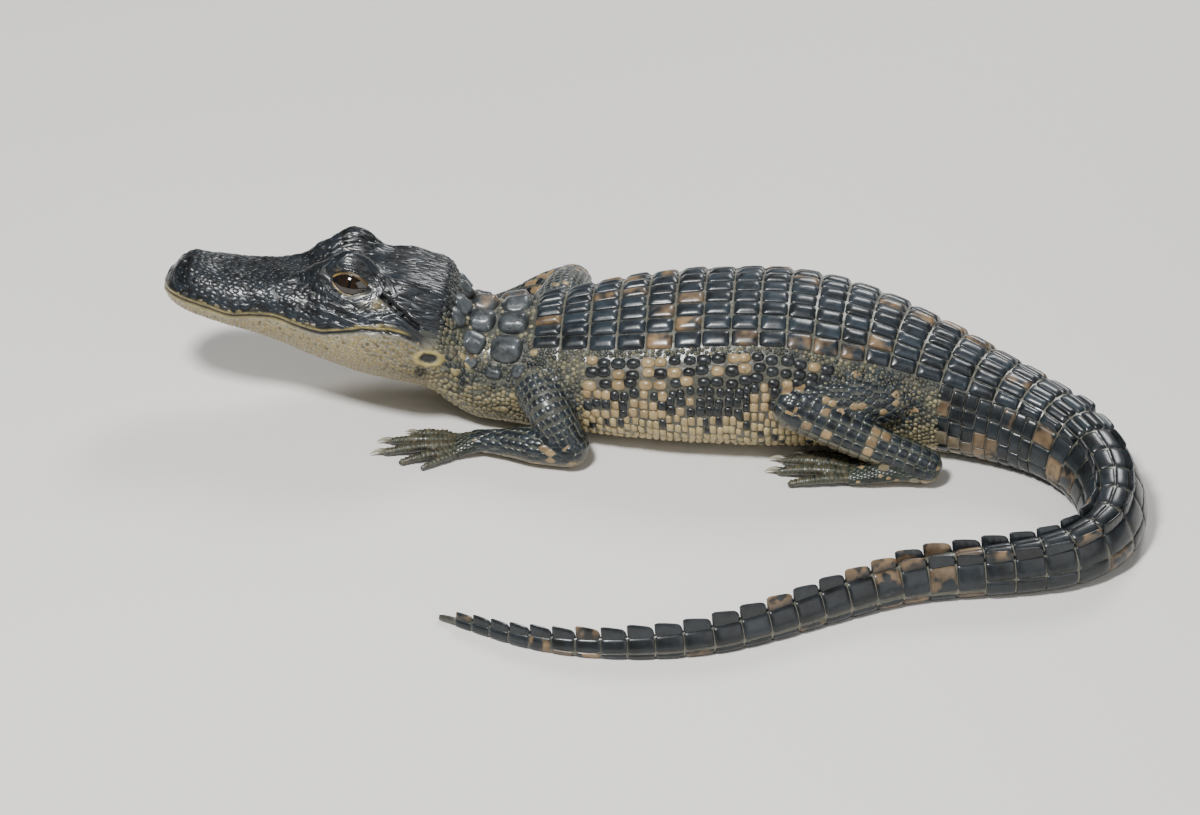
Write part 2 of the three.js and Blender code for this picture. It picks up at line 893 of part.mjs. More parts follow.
// Lengths of the trunk, and a swollen copy that cuts the limbs clear of it.
const half = partingGap / 2;
const trunkSides = 27;
const torsoColumns = 4;
const tailRootColumns = 3;
const neckStops = stations(occiputS + half, neckEndS - half, 7);
const torsoStops = stations(neckEndS + half, ventS - half, whorlLength);
const clearStops = [...neckStops.slice(1), ...torsoStops, ventS + whorlLength];
const trunkClear = trunkLength(clearStops, trunkSides, torsoColumns, { plated: true, grow: partingGap });
const tailSides = [23, 19, 15, 13, 11];

const solids = new Map();
solids.set("torso", trunkLength(torsoStops, trunkSides, torsoColumns, { plated: true }));
const neckSolid = trunkLength(neckStops, trunkSides, torsoColumns);
solids.set("neck", largest(joined([neckSolid, ...neckPlateSolids])));
tailSides.forEach((sides, i) => {
  const [from, to] = [tailPartsS[i], tailPartsS[i + 1]];
  const stops = stations(from + half, to - half, whorlLength);
  const solid = trunkLength(stops, sides, i === 0 ? tailRootColumns : 0, { plated: i === 0 });
  solids.set(`tail_${i + 1}`, i === 0 ? solid : largest(joined([solid, ...crestPlates(from, to)])));
});

// Head: one form, cut along the mouth line into skull and lower jaw.
const headStations = [
  0.15, 6, 12, 18, 24, 30, 36, 41, 46, 51, 56, 62, 69, 77, 86, 95,
  104, 112, 119, 125, 129, 132.5, 135.3, 137.2, headLength,
];
const headForm = loft(
  headStations.map((x) =>
    Array.from({ length: 30 }, (_, k) => headPoint(x, ((k + 0.5) / 30) * 2 * Math.PI)),
  ),
);

// The upright prism of a thin strip that follows a line in the head's x and z.
function stripCutter(line, thickness, halfSpan) {
  const shape = new THREE.Shape();
  const edge = line.map(([x, z]) => [x, z + thickness / 2]);
  const back = line.map(([x, z]) => [x, z - thickness / 2]).reverse();
  [...edge, ...back].forEach(([x, z], i) => (i === 0 ? shape.moveTo(x, z) : shape.lineTo(x, z)));
  const slab = new THREE.ExtrudeGeometry(shape, { depth: 2 * halfSpan, bevelEnabled: false });
  const place = new THREE.Matrix4()
    .makeTranslation(0, halfSpan, 0)
    .multiply(new THREE.Matrix4().makeRotationX(Math.PI / 2));
  return solidOf(slab, place);
}
const mouthEndX = 9;
const mouthLine = stations(mouthEndX, headLength + 6, 6).map((x) => [x, interpolate(mouthKeys, x)]);
const cutHeight = 0.4;
const mouthCutter = stripCutter(mouthLine, cutHeight, 50);
const jawBackCutter = solidOf(
  new THREE.BoxGeometry(cutHeight, 100, 60),
  new THREE.Matrix4().makeTranslation(mouthEndX, 0, interpolate(mouthKeys, mouthEndX) - 30 + cutHeight / 2),
);

// Eyes: a ball in a socket that opens through an almond-shaped slit, ringed by the lids.
const eyeRadius = 8.8;
const eyeOpening = { halfLength: 8.4, halfHeight: 4.6, lid: 1.7 };
const eyeSets = [-1, 1].map((side) => {
  const centre = vec(eyeX, side * 17.2, 28.2);
  const look = vec(0.15, side, 0.3).normalize();
  const turn = new THREE.Matrix4().lookAt(look, vec(0, 0, 0), vec(0, 0, 1));
  const place = new THREE.Matrix4().makeTranslation(centre.x, centre.y, centre.z).multiply(turn);
  const tilt = new THREE.Matrix4().makeRotationZ(radians(side * 9));
  return { side, centre, place: place.clone().multiply(tilt) };
});
const ball = (radius, at) =>
  solidOf(new THREE.SphereGeometry(radius, 14, 9), new THREE.Matrix4().makeTranslation(at.x, at.y, at.z));
function almond(place, grow, depth) {
  const shape = new THREE.Shape();
  shape.absellipse(0, 0, eyeOpening.halfLength + grow, eyeOpening.halfHeight + grow, 0, 2 * Math.PI);
  const prism = new THREE.ExtrudeGeometry(shape, { depth, bevelEnabled: false, curveSegments: 7 });
  const start = new THREE.Matrix4().makeTranslation(0, 0, eyeRadius * 0.3);
  return solidOf(prism, place.clone().multiply(start));
}
function lids(place) {
  const ring = new THREE.TorusGeometry(1, eyeOpening.lid / eyeOpening.halfLength, 5, 16);
  const { halfLength, halfHeight } = eyeOpening;
  const fit = new THREE.Matrix4()
    .makeTranslation(0, 0, eyeRadius * 0.72)
    .multiply(new THREE.Matrix4().makeScale(halfLength, halfHeight + 1.1, halfLength));
  return solidOf(ring, place.clone().multiply(fit));
}

// Ears: a slit under the side edge of the skull table. Nostrils: two crescent pits on the snout.
function earCutter(side) {
  const slit = new THREE.BoxGeometry(19, 6, 1.4);
  const place = new THREE.Matrix4()
    .makeTranslation(21.5, side * 32, 23.5)
    .multiply(new THREE.Matrix4().makeRotationY(radians(-30)));
  return solidOf(slit, place);
}
function nostrilCutter(side) {
  const place = new THREE.Matrix4()
    .makeTranslation(129.5, side * 5, 17)
    .multiply(new THREE.Matrix4().makeRotationZ(radians(side * -35)))
    .multiply(new THREE.Matrix4().makeScale(2.4, 1.1, 2.6));
  return solidOf(new THREE.SphereGeometry(1, 8, 6), place);
}

let skull = joined([headForm, ...eyeSets.map(({ place }) => lids(place))]);
for (const { centre, place } of eyeSets) {
  skull = skull.subtract(ball(eyeRadius + partingGap, centre)).subtract(almond(place, 0, 14));
}
for (const side of [-1, 1]) skull = skull.subtract(earCutter(side)).subtract(nostrilCutter(side));
const jaws = skull
  .subtract(joined([mouthCutter, jawBackCutter]))
  .decompose()
  .sort((a, b) => b.volume() - a.volume());
const intoPart = (solid) => solid.transform(headMatrix.elements);
solids.set("head", intoPart(jaws[0]));
solids.set("lower_jaw", intoPart(jaws[1]));
for (const { side, centre } of eyeSets) {
  solids.set(side > 0 ? "eye_left" : "eye_right", intoPart(ball(eyeRadius, centre)));
}

for (const [name, leg] of Object.entries(foreLegs)) {
  const footParts = { toes: foreToes, palmSizes: forePalmSizes, webShare: 0 };
  const [upperArm, foreArm, foreFoot] = legSolids(leg, upperArmSizes, foreArmSizes, footParts);
  solids.set(`upper_arm_${name}`, upperArm);
  solids.set(`forearm_${name}`, foreArm);
  solids.set(`fore_foot_${name}`, foreFoot);
}
for (const [name, leg] of Object.entries(hindLegs)) {
  const footParts = { toes: hindToes, palmSizes: hindPalmSizes, webShare: 0.55 };
  const [thigh, shank, hindFoot] = legSolids(leg, thighSizes, shankSizes, footParts);
  solids.set(`thigh_${name}`, thigh);
  solids.set(`shank_${name}`, shank);
  solids.set(`hind_foot_${name}`, hindFoot);
}

// Colours of the finished animal. Every solid has a material of its own, chosen by its kind of surface.
const trunkFinish = { color: 0x2e3338, roughness: 0.45 };
const finishes = [
  [/^eye_/, { color: 0x3a2c18, roughness: 0.08 }],
  [/^head$/, { color: 0x353a3e, roughness: 0.42 }],
  [/^lower_jaw$/, { color: 0x9d8c68, roughness: 0.5 }],
  [/_foot_/, { color: 0x4b4f48, roughness: 0.5 }],
  [/arm_|thigh_|shank_/, { color: 0x3a4148, roughness: 0.48 }],
];
const finishOf = (name) => finishes.find(([kind]) => kind.test(name))?.[1] ?? trunkFinish;

const alligator = new THREE.Group();
for (const [name, solid] of solids) {
  const { vertProperties, triVerts, numProp, numVert } = solid.simplify(fineness).getMesh();
  const positions = new Float32Array(numVert * 3);
  for (let i = 0; i < numVert; i += 1) {
    positions.set(vertProperties.subarray(i * numProp, i * numProp + 3), i * 3);
  }
  const geometry = new THREE.BufferGeometry();
  geometry.setAttribute("position", new THREE.BufferAttribute(positions, 3));
  geometry.setIndex(new THREE.BufferAttribute(new Uint32Array(triVerts), 1));
  geometry.computeVertexNormals();
  const material = new THREE.MeshStandardMaterial({ ...finishOf(name), metalness: 0 });
  material.name = `${name}_finish`;
  const mesh = new THREE.Mesh(geometry, material);
  mesh.name = name;
  alligator.add(mesh);
}

export default alligator;
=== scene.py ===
import json
import math
from functools import partial

import bpy
import numpy as np
from mathutils import Matrix, Vector
from mathutils.bvhtree import BVHTree
from mathutils.kdtree import KDTree

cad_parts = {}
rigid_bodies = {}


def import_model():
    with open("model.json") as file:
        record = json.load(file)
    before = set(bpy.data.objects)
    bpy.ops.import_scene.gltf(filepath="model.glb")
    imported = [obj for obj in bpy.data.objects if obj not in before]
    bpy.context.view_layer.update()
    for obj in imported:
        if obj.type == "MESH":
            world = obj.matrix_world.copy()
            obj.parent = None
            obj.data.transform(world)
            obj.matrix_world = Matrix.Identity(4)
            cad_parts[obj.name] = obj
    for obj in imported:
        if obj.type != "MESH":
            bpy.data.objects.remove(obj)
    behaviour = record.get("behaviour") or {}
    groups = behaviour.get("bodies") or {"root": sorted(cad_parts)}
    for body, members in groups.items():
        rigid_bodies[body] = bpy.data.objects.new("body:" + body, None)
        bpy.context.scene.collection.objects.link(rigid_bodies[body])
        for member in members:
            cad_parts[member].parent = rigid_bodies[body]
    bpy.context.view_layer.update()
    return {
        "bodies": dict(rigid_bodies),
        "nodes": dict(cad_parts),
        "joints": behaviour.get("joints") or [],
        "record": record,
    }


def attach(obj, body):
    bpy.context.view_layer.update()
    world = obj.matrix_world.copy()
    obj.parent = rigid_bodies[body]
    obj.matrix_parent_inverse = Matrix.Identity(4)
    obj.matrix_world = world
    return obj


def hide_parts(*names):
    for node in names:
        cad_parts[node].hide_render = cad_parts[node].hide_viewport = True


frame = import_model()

metres = 0.001  # all shapes below are worked out in mm, in the frame's own axes

# camera: the animal lies along X, the snout points to -X, the near flank faces -Y
cameraSettings = {
    "aim": (-60.0, 2.0, 0.0),
    "elevation": 34.0,
    "distance": 3000.0,
    "lens": 180.0,
    "sensor": 36.0,
}


def placeCamera(settings):
    data = bpy.data.cameras.new("photoCamera")
    data.lens = settings["lens"]
    data.sensor_width = settings["sensor"]
    data.clip_end = 20
    camera = bpy.data.objects.new("photoCamera", data)
    rise = math.radians(settings["elevation"])
    aim = Vector(settings["aim"])
    back = Vector((0, -math.cos(rise), math.sin(rise)))
    camera.location = (aim + back * settings["distance"]) * metres
    camera.rotation_euler = (math.pi / 2 - rise, 0, 0)
    bpy.context.scene.collection.objects.link(camera)
    bpy.context.scene.camera = camera


placeCamera(cameraSettings)
print("camera set")


# numbers and curves of the body, in mm
def keysOf(*rows):
    return np.array(rows, float)


def keyed(keys, x):  # a smooth curve through the keys that never overshoots them
    x = np.asarray(x, float)
    at, value = keys[:, 0], keys[:, 1]
    slope = np.diff(value) / np.diff(at)
    tangent = np.empty(len(at))
    tangent[0], tangent[-1] = slope[0], slope[-1]
    before, after = slope[:-1], slope[1:]
    with np.errstate(divide="ignore", invalid="ignore"):
        tangent[1:-1] = np.where(before * after <= 0, 0, 2 * before * after / (before + after))
    i = np.clip(np.searchsorted(at, x, side="right") - 1, 0, len(at) - 2)
    span = at[i + 1] - at[i]
    u = np.clip((x - at[i]) / span, 0, 1)
    return (
        (2 * u**3 - 3 * u**2 + 1) * value[i]
        + (u**3 - 2 * u**2 + u) * span * tangent[i]
        + (3 * u**2 - 2 * u**3) * value[i + 1]
        + (u**3 - u**2) * span * tangent[i + 1]
    )


def smooth(t):
    t = np.clip(t, 0, 1)
    return t * t * (3 - 2 * t)


def power(v, e):
    return np.sign(v) * np.abs(v) ** e


def unit(v):
    return v / np.maximum(np.linalg.norm(v, axis=-1, keepdims=True), 1e-9)


headLength = 138
bodyWidth = 101
bodyHeight = 72
widestShare = 0.42  # of the height, where a section of the trunk is widest
whorlLength = 14  # one row of scutes, from its front to the next
occiputS = -142
neckEndS = -92
ventS = 118
shieldEndS = 203  # behind it the tail's crests take the place of the back's outer scutes
shieldTableEndS = 200  # the last place in shieldArcKeys
singleCrestS = 370  # behind it the two crests are one
fineTailS = 470  # behind it the rows of scutes get shorter
tailTipS = 605
neckBlend = 26

headingKeys = keysOf((-142, -5), (0, -4), (60, -8), (100, -18), (150, -30), (180, -46), (205, -66), (230, -86),
    (252, -108), (276, -143), (300, -166), (330, -173), (355, -167), (385, -155), (420, -152), (450, -157),
    (480, -170), (520, -184), (550, -197), (575, -208), (605, -205))
halfWidthKeys = keysOf((-142, 0.62), (-125, 0.62), (-108, 0.66), (-92, 0.73), (-70, 0.83), (-45, 0.92),
    (-15, 0.99), (15, 1), (40, 0.96), (65, 0.87), (85, 0.77), (100, 0.69), (118, 0.6), (135, 0.535),
    (155, 0.47), (180, 0.41), (205, 0.365), (235, 0.32), (265, 0.28), (300, 0.235), (350, 0.19), (400, 0.15),
    (450, 0.118), (500, 0.09), (550, 0.064), (585, 0.042), (605, 0.02))
topKeys = keysOf((-142, 0.82), (-122, 0.75), (-104, 0.74), (-88, 0.78), (-60, 0.865), (-30, 0.94), (0, 0.985),
    (30, 1), (60, 0.95), (85, 0.865), (100, 0.8), (118, 0.73), (135, 0.665), (155, 0.6), (180, 0.54),
    (205, 0.49), (235, 0.445), (265, 0.4), (300, 0.345), (350, 0.295), (400, 0.255), (450, 0.21), (500, 0.165),
    (550, 0.12), (585, 0.08), (605, 0.05))
bellyKeys = keysOf((-142, 9), (-132, 3), (-124, 0.4), (-116, -0.7), (605, -0.7))
taperKeys = keysOf((60, 0), (118, 0.08), (160, 0.2), (230, 0.3), (330, 0.34), (420, 0.42), (605, 0.35))
squareTopKeys = keysOf((-142, 2.1), (-60, 2.15), (40, 2.3), (150, 2.5), (300, 2.7), (420, 2.1), (605, 2))
squareLowKeys = keysOf((-142, 2.1), (-90, 2.4), (80, 2.6), (200, 2.3), (605, 2.1))
headHalfWidthKeys = keysOf((-30, 30.5), (-8, 34), (4, 36.5), (16, 38), (30, 37), (42, 34.8), (54, 31.8),
    (66, 28.6), (78, 25.7), (90, 23.7), (104, 22.5), (116, 21.2), (125, 18.9), (131, 15.5), (135, 11.2),
    (137.2, 6.4), (138, 2.6))
headTopKeys = keysOf((-30, 25), (-12, 28), (-4, 33), (2, 38), (20, 38.6), (34, 36.8), (44, 34), (56, 30.5),
    (66, 27), (76, 24), (88, 21.4), (102, 19.6), (116, 18.4), (126, 17), (132, 13.4), (136, 8.4), (138, 3.2))
headBottomKeys = keysOf((-30, -34), (-12, -25), (0, -20), (14, -19), (30, -19.5), (50, -18.5), (62, -17.2),
    (72, -15), (90, -12), (110, -10), (126, -8), (133, -6), (138, -1.6))
mouthKeys = keysOf((4, 11), (10, 14), (20, 15.5), (34, 13.5), (48, 8), (58, 4.6), (70, 4.2), (80, 4.8),
    (92, 2.6), (104, 0.2), (116, 0.8), (128, 0.9), (138, 0.6))
headMiddleKeys = keysOf((-30, 6), (0, 8), (20, 8), (40, 6.5), (60, 4.6), (80, 4.8), (104, 0.6), (138, 0.6))
headSquareKeys = keysOf((-30, 2.1), (0, 2.5), (30, 2.4), (60, 2.2), (90, 2.5), (120, 2.5), (138, 2))
shieldArcKeys = keysOf((-142, 24), (-90, 26), (-60, 33), (-20, 37.5), (50, 37.5), (90, 31), (118, 25.5),
    (150, 20), (200, 14.5))
crestHeightKeys = keysOf((190, 2.8), (230, 4), (300, 5.2), (370, 6.4), (440, 7.4), (520, 6), (575, 3.6),
    (605, 2))
crestArcKeys = keysOf((118, 16), (150, 12.5), (190, 10.5), (260, 8.5), (330, 6), (370, 2.6))

spineStep = 2.0


def spineTable():
    rows = {0.0: (0.0, 0.0)}
    for way, end in ((-1, occiputS - 8), (1, tailTipS + 8)):
        x = y = 0.0
        s = 0.0
        while way * s < way * end:
            heading = math.radians(float(keyed(headingKeys, s + way * spineStep / 2)))
            x += way * spineStep * math.cos(heading)
            y += way * spineStep * math.sin(heading)
            s += way * spineStep
            rows[s] = (x, y)
    stations = np.array(sorted(rows))
    return stations, np.array([rows[s] for s in stations])


spineS, spineXY = spineTable()


def spineAt(s):  # centre line, the way to the tail and the way to the animal's left
    s = np.asarray(s, float)
    a = np.radians(keyed(headingKeys, s))
    zero = np.zeros_like(a)
    centre = np.stack([np.interp(s, spineS, spineXY[:, 0]), np.interp(s, spineS, spineXY[:, 1]), zero], -1)
    return centre, np.stack([np.cos(a), np.sin(a), zero], -1), np.stack([np.sin(a), -np.cos(a), zero], -1)


def sectionSizes(s):  # half width, top, underside and the height at which the section is widest
    top, low = keyed(topKeys, s) * bodyHeight, keyed(bellyKeys, s)
    return keyed(halfWidthKeys, s) * bodyWidth / 2, top, low, low + widestShare * (top - low)


def sectionPoint(s, angle, grow=0.0):  # angle 0 is the mid-back, +90 degrees the left flank
    halfWidth, top, low, middle = sectionSizes(s)
    c, q = np.cos(angle), np.sin(angle)
    e = 2 / np.where(c >= 0, keyed(squareTopKeys, s), keyed(squareLowKeys, s))
    up = power(c, e) * np.where(c >= 0, top + grow - middle, middle - low + grow)
    narrow = 1 - keyed(taperKeys, s) * up / (top - middle)
    return power(q, e) * (halfWidth + grow) * narrow, middle + up


def headForms():
    rows = []
    for side in (-1, 1):
        rows += [
            ((52.5, side * 15.5, 33), (12, 8.5, 12), (0, side * 1.5, 15)),  # eye dome
            ((20, side * 21, 37), (19, 5, 5), (0, side * 0.6, 2.2)),  # skull table edge
            ((22, side * 31, 26), (17, 6, 8), (0, side * -2.4, 0)),  # ear hollow
            ((14, side * 35, 0), (14, 9, 11), (0, side * 2.4, 0)),  # jaw muscle
            ((126.5, side * 5.5, 17), (8.5, 6, 6.5), (0, 0, 1.6)),  # nostril bulb
            ((72, side * 13, 23), (12, 4, 6), (0, 0, 1.8)),  # ridge before the eye
            ((104, side * 21, 3), (8, 6, 7), (0, side * 1.2, -0.6)),  # front teeth under the lip
            ((62, side * 28, 5), (10, 6, 6), (0, side * 0.9, -0.5)),  # rear teeth under the lip
        ]
    rows += [
        ((50, 0, 32), (15, 6.5, 9), (0, 0, -2.4)),  # hollow between the eyes
        ((108, 0, 19), (14, 7, 6), (0, 0, -1.2)),  # dip behind the nostrils
    ]
    return [tuple(np.array(v, float) for v in row) for row in rows]


lipOverhang = 1.4
headFormRows = headForms()


def headPoint(x, angle):
    x, angle = np.broadcast_arrays(np.asarray(x, float), np.asarray(angle, float))
    c, q = np.cos(angle), np.sin(angle)
    e = 2 / keyed(headSquareKeys, x)
    middle = keyed(headMiddleKeys, x)
    rise = np.where(c >= 0, keyed(headTopKeys, x) - middle, middle - keyed(headBottomKeys, x))
    z = middle + power(c, e) * rise
    under = smooth((keyed(mouthKeys, x) - z) / 1.2) * smooth((x - 30) / 30)
    inset = under * lipOverhang * smooth((headLength - x) / 3)
    p = np.stack([x, power(q, e) * (keyed(headHalfWidthKeys, x) - inset), z], -1)
    push = np.zeros_like(p)
    for at, spread, by in headFormRows:
        far = (((p - at) / spread) ** 2).sum(-1)
        push += (np.exp(-far) * (far < 9))[..., None] * by
    return p + push


headPlace = {"at": (-141.5, 13.0, 33.7), "yaw": 4.8, "pitch": 11.0, "roll": 9.3}


def headTurn(place):
    turn = Matrix.Rotation(math.radians(180 - place["yaw"]), 3, "Z")
    turn = turn @ Matrix.Rotation(math.radians(-place["pitch"]), 3, "Y")
    return np.array(turn @ Matrix.Rotation(math.radians(place["roll"]), 3, "X"))


headRot = headTurn(headPlace)
headAt = np.array(headPlace["at"])


def fromHead(p):
    return p @ headRot.T + headAt


def toHead(p):
    return (p - headAt) @ headRot


def bodyPoint(s, angle, grow=0.0):
    s, angle = np.broadcast_arrays(np.asarray(s, float), np.asarray(angle, float))
    centre, _, left = spineAt(s)
    y, z = sectionPoint(s, angle, grow)
    p = centre + left * y[..., None]
    p[..., 2] += z
    share = smooth((s - occiputS) / neckBlend)[..., None]
    return fromHead(headPoint(occiputS - s, angle)) * (1 - share) + p * share


def surfaceFrame(point, a, b, stepA=0.5, stepB=0.03):  # point, both directions and the outward normal
    p = point(a, b)
    alongA = unit(point(a + stepA, b) - point(a - stepA, b))
    alongB = unit(point(a, b + stepB) - point(a, b - stepB))
    return p, alongA, alongB, unit(np.cross(alongB, alongA))


# how far round the body an angle lies from the mid-back, so that rows can be spaced in mm
girthS = np.arange(occiputS, tailTipS + 1, 2.0)
girthAngles = np.linspace(0, math.pi, 181)
girthPoints = np.stack(sectionPoint(girthS[:, None], girthAngles[None, :]), -1)
girthArc = np.concatenate(
    [np.zeros((len(girthS), 1)), np.cumsum(np.linalg.norm(np.diff(girthPoints, axis=1), axis=2), axis=1)], axis=1
)


def halfGirth(s):
    return np.interp(s, girthS, girthArc[:, -1])


def angleAtArc(s, arc):
    s, arc = np.broadcast_arrays(np.asarray(s, float), np.asarray(arc, float))
    row = np.clip(np.rint((s - girthS[0]) / 2).astype(int), 0, len(girthS) - 1)
    flat = [np.interp(abs(a), girthArc[r], girthAngles) * np.sign(a) for r, a in zip(row.ravel(), arc.ravel())]
    return np.array(flat).reshape(s.shape)


# limbs: the joints of each limb, from the root to the palm
limbs = {
    "fore_left": {
        "points": [(-90, -22, 30), (-84, -38, 24), (-75, -48, 10), (-98, -43, 9), (-119, -37.5, 7), (-130, -37, 3.7)],
        "bearing": 180,
        "side": 1,
    },
    "fore_right": {
        "points": [(-84, 34, 34), (-78, 58, 32), (-74, 78, 25), (-92, 81, 17), (-109, 84, 9), (-121, 84, 3.7)],
        "bearing": 176,
        "side": -1,
    },
    "hind_left": {
        "points": [
            (95, -26, 29), (66, -40, 34.5), (34.5, -48.5, 35), (68, -57.5, 22), (100, -64, 10), (64, -60.5, 3.9),
        ],
        "bearing": 164,
        "side": 1,
    },
    "hind_right": {
        "points": [(95, 6, 34), (70, 34, 33), (42, 51, 29), (71, 58, 19), (100, 62, 10), (65, 66, 3.9)],
        "bearing": 172,
        "side": -1,
    },
}
limbShapes = {  # along the length, half width and half thickness
    "fore": {
        "root": keysOf((0, 14, 13), (0.45, 11.5, 11), (1, 10, 9.5)),
        "lower": keysOf((0, 10, 9.5), (0.3, 10.2, 9), (0.8, 6.6, 6), (1, 6, 5.2)),
        "palm": keysOf((0, 6, 5), (0.5, 7.5, 4.4), (1, 8.6, 3.9)),
        "toes": [  # turn, length, radius, offset, claw
            (-19, 22, 2.5, -6.2, 6.5),
            (-5, 33, 2.7, -3.3, 8),
            (5, 36, 2.7, 0.2, 8),
            (16, 29, 2.3, 3.8, 0),
            (30, 20, 2, 6.4, 0),
        ],
        "web": 0.16,
    },
    "hind": {
        "root": keysOf((0, 18, 16.5), (0.45, 16, 15.5), (0.8, 13, 13), (1, 11, 11.5)),
        "lower": keysOf((0, 11, 11.5), (0.4, 9.8, 10.5), (0.8, 8.2, 8.8), (1, 8, 8.4)),
        "palm": keysOf((0, 8, 8.4), (0.35, 8, 5.8), (0.8, 9.4, 4.6), (1, 9.2, 4.1)),
        "toes": [(-10, 26, 3, -6, 7), (-1, 35, 3.2, -2.2, 8.5), (8, 35, 3.1, 2, 8.5), (19, 29, 2.6, 6, 0)],
        "web": 0.55,
    },
}


# knuckles of a toe: place along it, half width and half thickness for each mm of its radius
toeSizes = keysOf((0, 1.15, 1), (0.2, 0.92, 0.9), (0.36, 1.08, 1), (0.52, 0.9, 0.86), (0.68, 1, 0.92),
    (0.84, 0.8, 0.76), (1, 0.75, 0.7))


def smoothPath(points, count=240):  # an even walk along a soft curve through the points
    p = np.array(points, float)
    p = np.vstack([2 * p[0] - p[1], p, 2 * p[-1] - p[-2]])
    out = []
    for i in range(1, len(p) - 2):
        x0, x1, x2, x3 = p[i - 1 : i + 3]
        d0, d1, d2 = (max(np.linalg.norm(b - a) ** 0.5, 1e-4) for a, b in ((x0, x1), (x1, x2), (x2, x3)))
        t1 = ((x1 - x0) / d0 - (x2 - x0) / (d0 + d1) + (x2 - x1) / d1) * d1
        t2 = ((x2 - x1) / d1 - (x3 - x1) / (d1 + d2) + (x3 - x2) / d2) * d1
        u = np.linspace(0, 1, 80)[:, None]
        out.append(x1 + t1 * u + (-3 * x1 + 3 * x2 - 2 * t1 - t2) * u**2 + (2 * x1 - 2 * x2 + t1 + t2) * u**3)
    path = np.vstack(out)
    run = np.concatenate([[0], np.cumsum(np.linalg.norm(np.diff(path, axis=0), axis=1))])
    even = np.linspace(0, run[-1], count)
    return np.stack([np.interp(even, run, path[:, k]) for k in range(3)], -1), run[-1]


class Tube:  # a limb, palm or toe: a path with an elliptical section
    def __init__(self, name, kind, points, sizes):
        self.name, self.kind = name, kind
        self.path, self.length = smoothPath(points)
        self.wide, self.thick = sizes[:, [0, 1]], sizes[:, [0, 2]]
        along = unit(np.gradient(self.path, axis=0))
        self.along = along
        self.side = unit(np.cross(along, (0, 0, 1)))
        self.up = unit(np.cross(self.side, along))

    def frameAt(self, t):
        at = np.clip(np.asarray(t, float), 0, 1) * (len(self.path) - 1)
        rows = np.arange(len(self.path))

        def pick(values):
            return np.stack([np.interp(at, rows, values[:, k]) for k in range(3)], -1)

        return pick(self.path), unit(pick(self.along)), unit(pick(self.side)), unit(pick(self.up))

    def point(self, mm, angle, grow=0.0):  # mm along the path, past either end the tube rounds off
        mm, angle = np.broadcast_arrays(np.asarray(mm, float), np.asarray(angle, float))
        t = mm / self.length
        centre, along, side, up = self.frameAt(t)
        w, h = keyed(self.wide, np.clip(t, 0, 1)), keyed(self.thick, np.clip(t, 0, 1))
        cap = np.minimum(w, h)
        over = np.maximum(np.maximum(-mm, mm - self.length), 0)
        out = np.clip(over / cap, 0, 1)
        share = np.sqrt(np.maximum(1 - out**2, 0))
        centre = centre + along * (np.where(mm < 0, -over, over))[..., None]
        return (
            centre
            + side * (np.cos(angle) * (w * share + grow))[..., None]
            + up * (np.sin(angle) * (h * share + grow))[..., None]
        )


def toeHeading(limb, turn):
    a = math.radians(limb["bearing"] + limb["side"] * turn)
    return np.array([math.cos(a), math.sin(a), 0.0])


def toeRoot(limb, offset):  # where a toe leaves the palm, offset mm to the side of its middle
    a = math.radians(limb["bearing"])
    across = np.array([math.sin(a), -math.cos(a), 0.0])
    return np.array(limb["points"][-1], float) - across * limb["side"] * offset


def limbTubes():
    tubes = []
    for name, limb in limbs.items():
        shape = limbShapes[name.split("_")[0]]
        root, rootMid, bend, lowerMid, wrist, palm = (np.array(v, float) for v in limb["points"])
        tubes.append(Tube(name, "root", [root, rootMid, bend], shape["root"]))
        tubes.append(Tube(name, "lower", [bend, lowerMid, wrist], shape["lower"]))
        tubes.append(Tube(name, "palm", [wrist, wrist * 0.45 + palm * 0.55, palm], shape["palm"]))
        for turn, length, radius, offset, _ in shape["toes"]:
            start, heading = toeRoot(limb, offset), toeHeading(limb, turn)
            path = [
                np.append((start + heading * f * length)[:2], z)
                for f, z in ((-0.05, palm[2]), (0.35, radius * 1.6), (0.72, radius * 1.3), (1, radius * 0.7))
            ]
            tubes.append(Tube(name, "toe", path, toeSizes * (1, radius, radius)))
    return tubes


tubes = limbTubes()
print("limbs laid out", len(tubes))


# seeded noise in mm space, for relief and markings
def hashOf(cell, seed):
    c = cell.astype(np.int64)
    h = (c[..., 0] * 73856093) ^ (c[..., 1] * 19349663) ^ (c[..., 2] * 83492791) ^ (seed * 40503)
    h = ((h ^ (h >> 13)) * 1274126177) & 0xFFFFFFFF
    h = ((h ^ (h >> 15)) * 2246822519) & 0xFFFFFFFF
    return (h ^ (h >> 16)) % 65536 / 65535.0


def softNoise(p, size, seed):  # -1 to 1, size is the width of one lump in mm, per axis
    q = np.asarray(p) / np.asarray(size, float)
    low = np.floor(q)
    f = smooth(q - low)
    total = 0.0
    for corner in np.ndindex(2, 2, 2):
        weight = np.prod(np.where(np.array(corner) == 1, f, 1 - f), axis=-1)
        total = total + weight * hashOf(low + np.array(corner), seed)
    return total * 2 - 1


# skin: closed lofts of every part are melted into one sheet
skinSettings = {
    "voxel": 0.78,
    "sunk": 0.35,  # how far the skin lies under the tops of flank scales
    "creaseRounds": 16,
    "floorGap": 0.25,
}


def gridTriangles(count, sides, closed=False):  # two for each cell of a grid of points, closed round its rows or not
    idx = np.arange(count * sides).reshape(count, sides)
    idx, after = (idx, np.roll(idx, -1, axis=1)) if closed else (idx[:, :-1], idx[:, 1:])
    a, b, b2, a2 = idx[:-1].ravel(), idx[1:].ravel(), after[1:].ravel(), after[:-1].ravel()
    return np.vstack([np.stack([a, b, b2], 1), np.stack([a, b2, a2], 1)])


